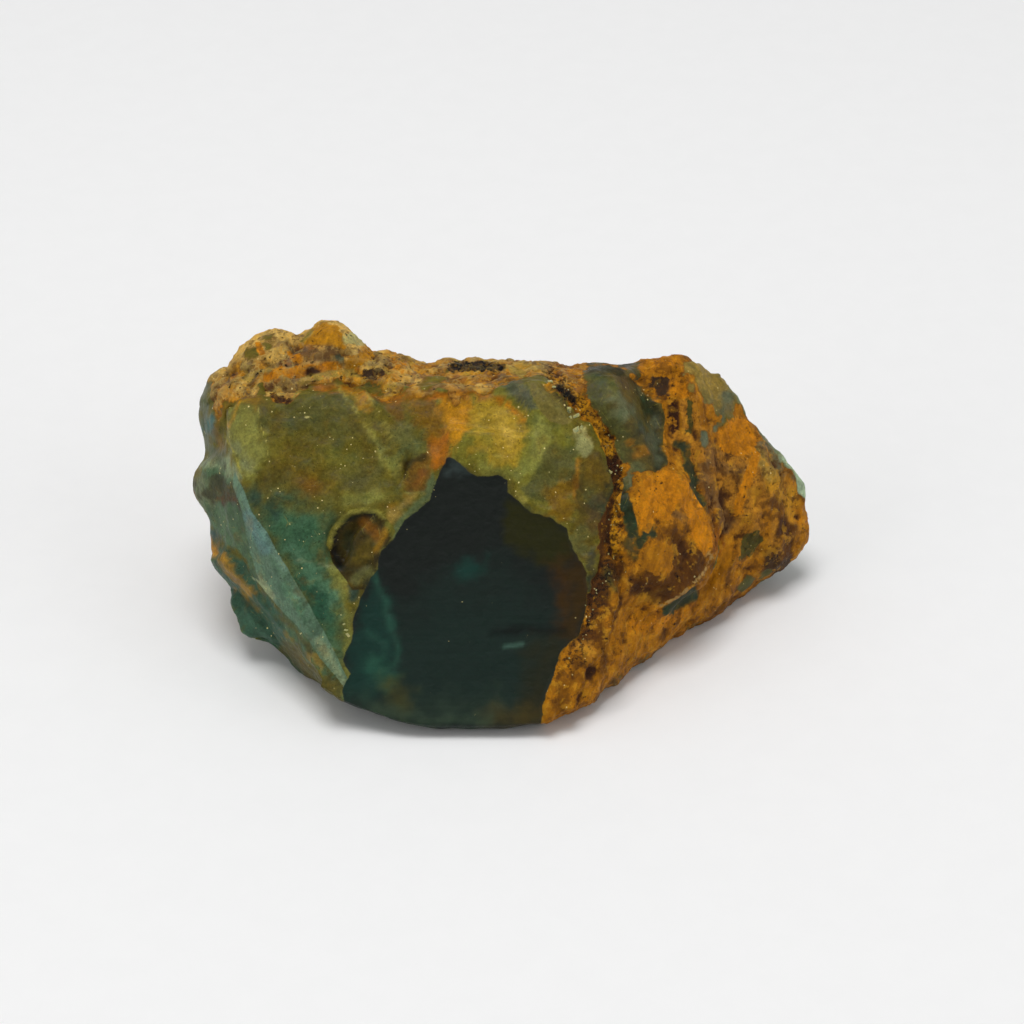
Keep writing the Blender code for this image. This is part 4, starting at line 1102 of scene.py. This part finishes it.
def cut_window(skin, rind_step):
    """Grinds the window flat, and raises the rind round it to a crisp step."""
    face = np.array(FACE_NORMAL)
    above = (skin.points - np.array(FACE_POINT)) @ face
    on_face = (skin.normals @ face > FACE_LEAN) & (above > -WINDOW_REACH) & (skin.front > 0.5)
    level = smooth(skin.rim, -0.05, 0.3) * on_face
    scallop = 0.35 * swells(skin.points, 1.6, 2, 4.4)
    soft_side = smooth(skin.chart[:, 0], 1.0, 5.0) * smooth(-skin.chart[:, 1], 1.0, 4.0)
    rise = rind_step * (1 + scallop) * (1 - soft_side)
    bank = np.minimum(rise, -0.9 * skin.rim + 0.1) * np.exp(np.minimum(skin.rim, 0) / 2.5)
    lifted = np.maximum(above, np.where(skin.rim < 0, bank, 0))
    target = np.where(on_face & (skin.rim > -WINDOW_REACH), (1 - level) * lifted, above)
    skin.points += face * (target - above)[:, None]
    skin.write()


def ledge(skin, path, rise, drop):
    """Height of a ledge along a path: raised on its left and dropped on its right."""
    distance, side = to_path(skin.chart + 0.4 * (skin.wandering - skin.chart), path)
    left = smooth(side * distance, -0.14, 0.14)
    fade = np.exp(-distance / 1.2)
    return (left * rise - (1 - left) * drop) * fade * skin.front


MOST_GROUND = 0.9  # the most that a facet's grinding moves a point


def grind_facets(skin, flatness):
    """Takes each facet's points most of the way to the flat face that fits them best."""
    places = skin.chart + 0.3 * (skin.wandering - skin.chart)
    for outline in FACETS.values():
        depth = inside(places, outline)
        level = flatness * smooth(depth, -0.15, 0.15) * skin.front
        found = skin.points[level > 0.5 * flatness]
        middle = found.mean(axis=0)
        normal = np.linalg.svd(found - middle, full_matrices=False)[2][2]
        gap = np.clip((skin.points - middle) @ normal, -MOST_GROUND, MOST_GROUND)
        skin.points = skin.points - (level * gap)[:, None] * normal
    skin.write()
    skin.normals = skin.read("normal")


def mound(skin, centre, radius, height):
    """Height of a low round swelling."""
    across = np.linalg.norm(skin.chart - np.array(centre), axis=1) / radius
    return height * np.exp(-(across**2)) * skin.front


def ridge(skin, path, width, height):
    """Height of a low rounded ridge along a path."""
    distance, _ = to_path(skin.wandering, path)
    return height * smooth(-distance, -width, 0) * skin.front


def crest_lumps(skin, cover):
    """Height of the crest's lumps. The skin keeps where the crest is, and each lump's draw."""
    points = skin.points
    skin.crest = smooth(-to_path(skin.wandering, CREST)[0], -3.2, -1.6) * cover * skin.front
    turned = points + 0.7 * np.column_stack([swells(points, 2.2, 3, shift) for shift in (1.3, 4.9, 9.4)])
    large, skin.draw = knobs(turned, 3.2, 1.3)
    small, skin.small_draw = knobs(turned, 1.4, 6.6)
    layers = swells(points * (0.45, 0.8, 2.2), 1.6, 3, 7.7)
    return skin.crest * (0.8 * large + 0.45 * small - 0.7 + 0.4 * layers)


def near_seam(skin, reach, heart):
    """1 within heart of the seam's middle to 0 beyond reach of it."""
    return smooth(-to_path(skin.wandering, SEAM)[0], -reach, -heart) * skin.front


def cut_relief(skin, shape, cover):
    """Cuts the fine relief of crust, seam and clean fluorite."""
    points = skin.points
    grains = swells(points, 0.7, 3, 5.2)
    height = shape.crest_relief / MM * crest_lumps(skin, cover)
    height += shape.crust_relief / MM * cover * (swells(points, 3.0, 4, 2.9) + 0.3 * grains)
    height += shape.face_relief / MM * (1 - cover) * swells(points, 2.2, 3, 8.3)
    height += near_seam(skin, 1.3, 0.3) * (0.18 * grains - shape.seam_depth / MM)
    for centre, radius, rise in MOUNDS.values():
        height += mound(skin, centre, radius, rise)
    for path, rise, drop in LEDGES.values():
        height += ledge(skin, path, rise, drop)
    for vein in ("panel_vein", "face_vein"):
        height += ridge(skin, INLAY[vein]["points"], 0.45, 0.1)
    quiet = smooth(skin.rim, -0.4, 0.2) * skin.front
    skin.move(height * (1 - quiet))


EVENING = 40  # rounds of levelling that take a crease out


def even_out(skin):
    """Takes the creases out of the places that are to be even."""
    depth = np.max([inside(skin.chart, outline) for outline in EVENED.values()], axis=0)
    skin.even = smooth(depth, 0.0, 0.5) * skin.front
    skin.points += skin.even[:, None] * (skin.levelled(EVENING) - skin.points)
    skin.write()
    skin.normals = skin.read("normal")


def keep_in_box(skin):
    """Keeps the skin inside the solid's own box."""
    low, high = (np.array(corner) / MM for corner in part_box(NODE))
    skin.points = np.clip(skin.points, low, high)
    skin.write()
    skin.measure()


# ---------------------------------------------------------------- the stone's colours
def palette(finish):
    """The palette, with the colours of the panel in place of their defaults."""
    colours = {name: np.array(own_colour(name)) for name in PALETTE}
    for name in finish.bl_rna.properties.keys():
        if name in colours:
            colours[name] = np.array(getattr(finish, name))
    return colours


def painted(skin, base, patches, colours, blur=1.5):
    """A base colour for each point, with patches painted over it in order."""
    paint = base.copy()
    for patch in patches.values():
        share = share_of(patch, skin, blur)[:, None]
        paint += share * (colours[patch["colour"]] - paint)
    return paint


FAR = 2.0  # a depth in millimetres that is well inside, and minus it well outside


def inlaid(skin, base, colours):
    """The colours of the crisp inlays, and how far inside one of them each point lies."""
    places = skin.chart + 0.15 * (skin.wandering - skin.chart)
    paint, deepest = base.copy(), np.full(len(base), -FAR)
    for patch in INLAY.values():
        depth = depth_in(patch, places)
        if patch["soft"]:
            share = patch["strength"] * smooth(depth, -patch["soft"] / 2, patch["soft"] / 2)
        else:
            share = smooth(depth, -0.5, -0.25)
            deepest = np.maximum(deepest, depth)
        paint += share[:, None] * (colours[patch["colour"]] - paint)
    return paint, np.where(skin.front > 0.5, deepest, -FAR)


def blend(share, first, second):
    """The first colour, with the second over it as far as share says."""
    return first + share[:, None] * (second - first)


def back_stone(skin, colours):
    """The fluorite of the sides that the chart can't see, with painted shade where it faces down."""
    broad, middle = swells(skin.points, 9.0, shift=1.9), swells(skin.points, 4.0, shift=6.3)
    paint = blend(smooth(broad, -0.2, 0.2), colours["olive"], colours["green_teal"])
    paint = blend(smooth(middle, 0.15, 0.35), paint, colours["deep_teal_grey"])
    paint = blend(smooth(-middle, 0.3, 0.5), paint, colours["sage"])
    # Deep teal where the skin faces down is painted shade on the underside.
    return blend(smooth(-skin.normals[:, 2], 0.7, 0.95), paint, colours["deep_teal"])


def back_crust(skin, colours):
    """The crust of the sides that the chart can't see."""
    broad, fine = swells(skin.points, 5.0, shift=2.2), swells(skin.points, 1.8, shift=8.8)
    paint = blend(smooth(broad, -0.1, 0.3), colours["ochre"], colours["tan_brown"])
    paint = blend(smooth(fine + broad, 0.25, 0.5), paint, colours["brown"])
    paint = blend(smooth(fine - broad, 0.35, 0.6), paint, colours["hay"])
    return blend(smooth(-fine, 0.3, 0.5) * 0.7, paint, colours["slate"])


KNOB_SHARE = 0.13  # the share of the knobs that each tint below takes
KNOB_TINTS = ("hay", "slate", "amber", "plum_tan", "honey")
GRAIN_TINTS = ("plum_tan", "orange", "hay", "rust")
HOLLOWING = 14  # rounds of levelling whose level a hollow is measured from


def paint_skin(skin, cover, finish):
    """Stores the skin's colours and what its shader needs to tell its finishes apart."""
    colours = palette(finish)
    one = np.ones((len(skin.points), 1))
    stone = painted(skin, one * colours["olive"], STONE, colours)
    crust = painted(skin, one * colours["ochre"], CRUST, colours)
    window = painted(skin, one * colours["navy"], WINDOW, colours, 4.0)
    for draw, tints in ((skin.draw, KNOB_TINTS), (skin.small_draw, GRAIN_TINTS)):
        for number, shade in enumerate(tints):
            chosen = (draw > number * KNOB_SHARE) & (draw <= (number + 1) * KNOB_SHARE)
            crust = blend(0.6 * chosen * skin.crest, crust, colours[shade])
    inlay, inlay_depth = inlaid(skin, blend(cover, stone, crust), colours)
    hollow = np.clip(skin.hollows(HOLLOWING), -0.5, 0.5)
    layers = {
        "inlay_tint": inlay,
        "inlay": inlay_depth,
        "stone_tint": blend(skin.front, back_stone(skin, colours), stone),
        "crust_tint": blend(skin.front, back_crust(skin, colours), crust),
        "window_tint": window,
        "crust": cover,
        "crest": skin.crest,
        "hollow": hollow * (1 - 0.2 * skin.crest) * (1 - skin.even),
        "window": np.where(skin.front > 0.5, np.clip(skin.rim, -FAR, FAR), -FAR),
        "seam": near_seam(skin, 1.5, 0.4),
    }
    for name, values in layers.items():
        skin.keep(name, values)


# ---------------------------------------------------------------- materials
FLUORITE_IOR = 1.434
STRIAE = (25 / 3, 10 / 9, 5 / 13)  # how far the window's striae are drawn out along each axis
FLOW = Vector((-0.3, -0.45, -0.84))  # the way the crust's streaks run


class StoneNodes(MaterialNodes):
    """The stone's nodes, with the patterns and masks that more than one of its finishes takes."""

    def __init__(self):
        super().__init__("raw_fluorite")
        self.fine, self.middle, self.broad = self.noise(0.35), self.noise(1.1), self.noise(4.0)
        self.grain = self.noise(0.22, 4.0, 0.75)
        self.blotch = self.noise(1.3, 6.0, 0.7)
        self.seam, crust = self.attribute("seam"), self.attribute("crust")
        self.rim = self.attribute("window") + (self.fine - 0.5) * 0.25
        self.in_window = self.step(self.rim, -0.06, 0.10)
        self.cover = crust + (self.noise(0.8, 5.0, 0.7) - 0.5) * 0.9
        # inlays, ragged where they lie in crust
        ragged = (self.noise(0.7, 5.0, 0.7) - 0.5) * (crust * 1.2 + 0.15)
        self.inlaid = self.step(self.attribute("inlay") + ragged, -0.05, 0.07)
        pitted = self.step(self.noise(2.6), 0.42, 0.58)
        self.pit = self.step(self.noise(0.5, 3.0, 0.55), 0.62, 0.7) * pitted
        self.grit = self.step(self.noise(0.4), 0.5, 0.58) * self.seam

    def with_inlay(self, tint):
        """A painted tint with the inlays in it."""
        return self.mix(self.inlaid, self.tint(tint), self.tint("inlay_tint"))


def cloudy_fluorite(nodes):
    """Fluorite with drifts of other colours and clouds inside it."""
    drift = nodes.noise(2.4, 5.0, 0.65)
    stone = nodes.with_inlay("stone_tint")
    stone = nodes.over(stone, "bronze", nodes.step(drift, 0.52, 0.72) * 0.35)
    stone = nodes.over(stone, "deep_green", nodes.step(drift, 0.5, 0.3) * 0.3)
    clouds = nodes.mottle(nodes.middle, 0.18) * nodes.mottle(nodes.broad, 0.12)
    return nodes.scale(stone, clouds * nodes.mottle(nodes.fine, 0.2) * nodes.mottle(nodes.grain, 0.16))


def window_glass(nodes):
    """The clean crystal in the window, with faint level striae."""
    striae = nodes.noise(0.8, 3.0, 0.55, nodes.mapped(Scale=STRIAE))
    return nodes.scale(nodes.tint("window_tint"), nodes.mottle(striae, 0.07))


def fluorite_colour(nodes):
    """Cloudy fluorite with crust stains, a painted highlight along the window's rim, specks, hairline
    cracks and painted glints on tiny scars.
    """
    in_window, middle = nodes.in_window, nodes.middle
    stained = nodes.step(nodes.cover, 0.08, 0.42) * nodes.step(nodes.broad, 0.35, 0.6)
    # A painted highlight along the rind's broken edge round the window.
    edge_lit = nodes.step(nodes.rim, -0.3, -0.05) * (1 - in_window) * nodes.step(middle, 0.4, 0.6)
    speck = nodes.step(nodes.fine, 0.6, 0.68) * nodes.step(nodes.noise(3.5), 0.42, 0.56)
    crack = nodes.step(nodes.voronoi(3.2, feature="DISTANCE_TO_EDGE"), 0.012, 0.0)
    stone = nodes.over(cloudy_fluorite(nodes), "bronze", stained * 0.6)
    stone = nodes.over(stone, "moss_pale", edge_lit * 0.35)
    stone = nodes.over(stone, "olive_black", speck * 0.6)
    stone = nodes.over(stone, "straw", crack * nodes.step(middle, 0.5, 0.65) * 0.35)
    stone = nodes.mix(in_window, stone, window_glass(nodes))
    # Tiny pale flecks: small scars with painted glints on them, fewer inside the window.
    scar_glints = nodes.flecks(0.5, 0.14) * nodes.step(nodes.noise(1.5) - in_window * 0.1, 0.52, 0.64)
    return nodes.over(stone, "glint", scar_glints * nodes.step(in_window, 0.0, 1.0, 0.9, 0.5))


def crest_marks(nodes, crust, crest):
    """Plum and gold veils over the crest's crust, and pale lines that swirl through it."""
    veil = nodes.noise(1.7, 5.0, 0.65)
    swirl = nodes.noise(2.2, 4.0, 0.6) - 0.5
    crust = nodes.over(crust, "plum_grey", nodes.step(veil, 0.53, 0.6) * crest * 0.5)
    crust = nodes.over(crust, "gold", nodes.step(veil, 0.45, 0.4) * crest * 0.4)
    return nodes.over(crust, "hay_pale", nodes.step(swirl * swirl, 0.0006, 0.0) * crest * 0.4)


def grain_glints(nodes):
    """1 on tiny bright grains with painted glints, thickest along the seam."""
    scattered = nodes.flecks(0.7, 0.15) * nodes.step(nodes.middle, 0.54, 0.6)
    return scattered.larger(nodes.flecks(0.7, 0.14) * nodes.seam * nodes.step(nodes.fine, 0.4, 0.6))


def crust_colour(nodes):
    """Ochre crust, blotched and streaked, with painted shade in its hollows, a painted highlight on the
    crest's lumps, dark pits, and painted glints on tiny bright grains.
    """
    plain = 1 - nodes.inlaid * 0.6  # an inlay shows through what is laid over the crust
    crest, hollow = nodes.attribute("crest") * plain, nodes.attribute("hollow")
    crust = nodes.scale(nodes.with_inlay("crust_tint"), nodes.mottle(nodes.grain, 0.2, 0.25, 0.75))
    crust = nodes.over(crust, "brown", nodes.step(nodes.blotch, 0.48, 0.42) * plain * 0.6)
    crust = nodes.over(crust, "gold", nodes.step(nodes.blotch, 0.54, 0.6) * plain * 0.45)
    crust = crest_marks(nodes, crust, crest)
    flow = FLOW.to_track_quat("X", "Z").to_euler()
    streak = nodes.noise(0.8, 4.0, 0.65, nodes.mapped(Rotation=flow, Scale=(4, 1, 1)))
    crust = nodes.scale(crust, nodes.step(streak, 0.35, 0.65, 0.78, 1.2))
    # raised picks the tops of the crest's lumps, where pale hay is a painted highlight.
    raised, thin = nodes.step(hollow, -0.04, -0.25), nodes.step(nodes.cover, 0.85, 0.5)
    crust = nodes.over(crust, "hay_pale", raised * crest * 0.35)
    crust = nodes.over(crust, "brown", thin * 0.5)
    # Umber goes where the skin lies low, as painted shade in its hollows, and where the blotches are
    # dark, as the crust's own darker patches.
    hollow_shade_and_blotches = nodes.step(hollow * 1.8 + (0.5 - nodes.blotch) * 1.4, 0.12, 0.5)
    crust = nodes.over(crust, "umber", hollow_shade_and_blotches * plain * (0.85 - crest * 0.2))
    crust = nodes.over(crust, "near_black", nodes.pit.larger(nodes.grit * 0.8) * 0.9)
    # Painted glints on tiny bright grains.
    return nodes.over(crust, "glint", grain_glints(nodes) * 0.85)


def clean_fluorite(nodes, clarity):
    """The fluorite's own shader: a little light goes in and comes out green."""
    return nodes.principled({
        "Base Color": fluorite_colour(nodes),
        "Roughness": nodes.step(nodes.fine, 0.3, 0.7, 0.4, 0.6),
        "IOR": FLUORITE_IOR,
        "Specular IOR Level": 0.2,
        "Subsurface Weight": clarity,
        "Subsurface Radius": (0.6, 0.8, 0.5),
        "Subsurface Scale": 1.2 * MM,
        "Normal": nodes.bump(nodes.middle, 0.12, nodes.bump(nodes.fine, 0.04)),
    })


def rusty_crust(nodes):
    """The crust's own shader: rough grains over blotches and pits."""
    dents = nodes.bump(nodes.pit + nodes.grit * 0.5, -0.12)
    return nodes.principled({
        "Base Color": crust_colour(nodes),
        "Roughness": nodes.step(nodes.grain, 0.3, 0.7, 0.4, 0.65),
        "Specular IOR Level": 0.14,
        "Normal": nodes.bump(nodes.grain, 0.16, nodes.bump(nodes.blotch, 0.3, dents)),
    })


def stone_material(finish):
    """Fluorite and its crust, with the clean crystal showing through the window."""
    nodes = StoneNodes()
    crusted = nodes.step(nodes.cover, 0.38, 0.6) * (1 - nodes.in_window)
    sockets = {0: crusted, 1: clean_fluorite(nodes, finish.clarity), 2: rusty_crust(nodes)}
    return nodes.finish(nodes.add("ShaderNodeMixShader", {}, sockets))


def chip_material():
    """Small clear crystals, milky inside."""
    nodes = MaterialNodes("crystal_chip")
    milk = nodes.step(nodes.noise(0.3), 0.35, 0.7)
    return nodes.finish(nodes.principled({
        "Base Color": nodes.over(opaque("chip"), "pale_sage", milk),
        "Roughness": nodes.step(nodes.noise(0.15), 0.3, 0.7, 0.12, 0.4),
        "IOR": FLUORITE_IOR,
        "Subsurface Weight": 0.5,
        "Subsurface Radius": (0.8, 0.9, 0.6),
        "Subsurface Scale": 0.5 * MM,
        "Normal": nodes.bump(milk, 0.02),
    }))


def floor_material(stage):
    """Matt white paper."""
    nodes = MaterialNodes("pale_floor")
    colour = nodes.scale(tuple(stage.floor), nodes.mottle(nodes.noise(4.0, 4.0), 0.005))
    return nodes.finish(nodes.principled({"Base Color": colour, "Roughness": 0.95}))


# ---------------------------------------------------------------- operators
class FLUORITE_OT_stone(bpy.types.Operator):
    """Makes the stone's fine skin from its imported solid, cuts its relief and paints it"""

    bl_idname = "fluorite.stone"
    bl_label = "Stone"

    def execute(self, context):
        shape, finish = context.scene.fluorite_shape, context.scene.fluorite_finish
        solid = frame["nodes"][NODE]
        stone = bpy.data.objects.new("weathered_stone", solid.data.copy())
        context.scene.collection.objects.link(stone)
        stone.data.materials.clear()
        stone.data.transform(Matrix.Scale(1 / MM, 4))
        merge_doubles(stone)
        with_modifier(stone, "REMESH", mode="VOXEL", voxel_size=shape.grain / MM)
        with_modifier(stone, "SMOOTH", factor=0.5, iterations=shape.polish)
        noise.seed_set(WANDER_SEED)
        skin = Skin(stone)
        cover = crust_cover(skin)
        grind_facets(skin, shape.flatness)
        even_out(skin)
        cut_relief(skin, shape, cover)
        cut_window(skin, shape.rind_step / MM)
        keep_in_box(skin)
        paint_skin(skin, cover, finish)
        stone.data.transform(Matrix.Scale(MM, 4))
        only(stone)
        bpy.ops.object.shade_smooth()
        stone.data.materials.append(stone_material(finish))
        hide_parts(NODE)
        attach(stone, BODY)
        return {"FINISHED"}


def nearest_on(piece, place):
    """The point of a piece that a chart place shows, and the way its surface faces there."""
    across, up = place
    way = AHEAD * LOOK_DISTANCE + Vector((across, 0, 0)) + UP * up
    found, point, normal, _ = piece.ray_cast(EYE * MM, way.normalized())
    if not found:
        raise RuntimeError(f"the chart place {place} is off the stone")
    return point, normal


def crystal(piece, place, size, draws):
    """One broken cleavage chip, half sunk in a piece at a chart place."""
    point, normal = nearest_on(piece, place)
    turn = draws.uniform(0, 3)
    rng = random.Random(draws.random())
    bpy.ops.mesh.primitive_cube_add(size=size)
    chip = bpy.context.object
    lean = normal.to_track_quat("Z", "Y").to_matrix().to_4x4()
    squash = Matrix.Diagonal((1.0, rng.uniform(0.45, 0.8), rng.uniform(0.3, 0.55), 1.0))
    skew = Matrix.Identity(4)
    skew[0][1], skew[0][2] = rng.uniform(0.1, 0.4), rng.uniform(-0.3, 0.3)
    for vert in chip.data.vertices:
        vert.co *= rng.uniform(0.85, 1.12)
    tilt = Matrix.Rotation(rng.uniform(-0.4, 0.4), 4, "X") @ Matrix.Rotation(turn, 4, "Z")
    sunk = Matrix.Translation(point - normal * size * 0.05)
    chip.data.transform(sunk @ lean @ tilt @ skew @ squash)
    with_modifier(chip, "BEVEL", width=size * 0.06, segments=1)
    return chip


CRUMBS = 4  # how many small chips lie along each stretch of the seam
# Where the larger chips sit, on the chart: (place, size as a share of chip_size)
CHIPS = {
    "top": ((3.8, 13), 0.7), "top_low": ((4.2, 12.5), 0.4),
    "upper": ((5.7, 10.1), 0.9), "upper_right": ((6.4, 9.6), 0.8), "upper_low": ((5.9, 9.4), 0.5),
    "large_side": ((6.4, 8.2), 0.8), "large_top": ((6.9, 8.4), 0.5),
    "bright": ((9.8, 4), 0.6), "window_left": ((-16.6, -11.8), 0.4),
    "window_left_low": ((-16.4, -12.3), 0.5), "window_left_top": ((-16.8, -11.2), 0.3),
}


class FLUORITE_OT_chips(bpy.types.Operator):
    """Sets small crystal chips along the seam and the window's edge"""

    bl_idname = "fluorite.chips"
    bl_label = "Crystal chips"

    def execute(self, context):
        shape = context.scene.fluorite_shape
        stone = bpy.data.objects["weathered_stone"]
        rng = random.Random(CHIP_SEED)
        chips = [crystal(stone, place, shape.chip_size * size, rng) for place, size in CHIPS.values()]
        for start, end in zip(SEAM, SEAM[1:]):
            for _ in range(CRUMBS):
                along, aside = rng.random(), rng.gauss(0, 0.5)
                place = [a + along * (b - a) + aside for a, b in zip(start, end)]
                chips.append(crystal(stone, place, shape.chip_size * rng.uniform(0.06, 0.2), rng))
        whole = join("crystal_chips", chips)
        whole.data.materials.clear()
        whole.data.materials.append(chip_material())
        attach(whole, BODY)
        return {"FINISHED"}


# The soft lights, in metres: (side, place)
LIGHTS = {
    "key": (0.4, Vector((-0.06, -0.06, 0.84))),
    "fill_left": (0.5, Vector((-0.6, -0.35, 0.35))),
    "fill_right": (0.5, Vector((0.6, -0.35, 0.35))),
}
LIT_POINT = Vector((0, 0, 0.01))  # what the lights point at
TENT_LIGHT, TENT_DARK = 0.48, 0.08  # brightness of the cloth, and of the gap
TENT_GAP = (0.70, 0.93)  # cosine of the angle from the gap's middle to its outer and inner edge


def set_up(data, place, way):
    """Puts a light or a camera at a place, looking along a way."""
    thing = bpy.data.objects.new(data.name, data)
    thing.location = place
    thing.rotation_mode = "QUATERNION"
    thing.rotation_quaternion = way.to_track_quat("-Z", "Y")
    bpy.context.scene.collection.objects.link(thing)
    return thing


def area_light(name, power):
    side, place = LIGHTS[name]
    light = bpy.data.lights.new(name, "AREA")
    light.energy = power
    light.size = side
    set_up(light, place, LIT_POINT - place)


def camera_at_eye(lens):
    view = bpy.data.cameras.new("camera")
    view.lens = lens
    view.sensor_width = 36.0
    view.clip_start = 0.01
    return set_up(view, EYE * MM, AHEAD)


def tent():
    """White cloth all round the stone, with a gap where the camera looks in."""
    nodes = Nodes(bpy.data.worlds.new("light_tent"))
    way = nodes.add("ShaderNodeTexCoord", output="Generated")
    dot = {"operation": "DOT_PRODUCT"}
    towards = nodes.add("ShaderNodeVectorMath", dot, {0: way, 1: -AHEAD}, "Value")
    light = nodes.step(towards, *TENT_GAP, TENT_LIGHT, TENT_DARK)
    cloth = nodes.add("ShaderNodeBackground", {}, {"Color": (1.0, 1.0, 1.0, 1.0), "Strength": light})
    return nodes.finish(cloth, "World")


class FLUORITE_OT_stage(bpy.types.Operator):
    """Lays the pale floor, hangs the soft lights and sets up the camera"""

    bl_idname = "fluorite.stage"
    bl_label = "Stage"

    def execute(self, context):
        stage, scene = context.scene.fluorite_stage, context.scene
        bpy.ops.object.select_all(action="DESELECT")
        bpy.ops.mesh.primitive_plane_add(size=stage.floor_size)
        floor = context.object
        floor.name = floor.data.name = "floor"
        floor.data.materials.append(floor_material(stage))
        scene.world = tent()
        area_light("key", stage.key_power)
        area_light("fill_left", stage.fill_power)
        area_light("fill_right", stage.fill_power)
        scene.camera = camera_at_eye(stage.lens)
        scene.view_settings.view_transform = "Standard"
        return {"FINISHED"}


class FLUORITE_PT_panel(bpy.types.Panel):
    """Lists the stone's pieces and what can be changed"""

    bl_idname = "FLUORITE_PT_panel"
    bl_label = "Raw fluorite"
    bl_space_type = "VIEW_3D"
    bl_region_type = "UI"
    bl_category = "Fluorite"

    def draw(self, context):
        for operator in OPERATORS:
            self.layout.operator(operator.bl_idname)
        for name in GROUPS:
            group = getattr(context.scene, name)
            box = self.layout.box()
            for setting in group.bl_rna.properties.keys():
                if setting not in ("rna_type", "name"):
                    box.prop(group, setting)


OPERATORS = (FLUORITE_OT_stone, FLUORITE_OT_chips, FLUORITE_OT_stage)
GROUPS = {
    "fluorite_shape": FluoriteShape, "fluorite_finish": FluoriteFinish, "fluorite_stage": FluoriteStage,
}


def register():
    for cls in (*GROUPS.values(), *OPERATORS, FLUORITE_PT_panel):
        bpy.utils.register_class(cls)
    for name, group in GROUPS.items():
        setattr(bpy.types.Scene, name, PointerProperty(type=group))


def unregister():
    for name in GROUPS:
        delattr(bpy.types.Scene, name)
    for cls in (FLUORITE_PT_panel, *OPERATORS[::-1], *GROUPS.values()):
        bpy.utils.unregister_class(cls)


def main():
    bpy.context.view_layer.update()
    register()
    bpy.ops.fluorite.stone()
    bpy.ops.fluorite.chips()
    bpy.ops.fluorite.stage()


if __name__ == "__main__":
    main()
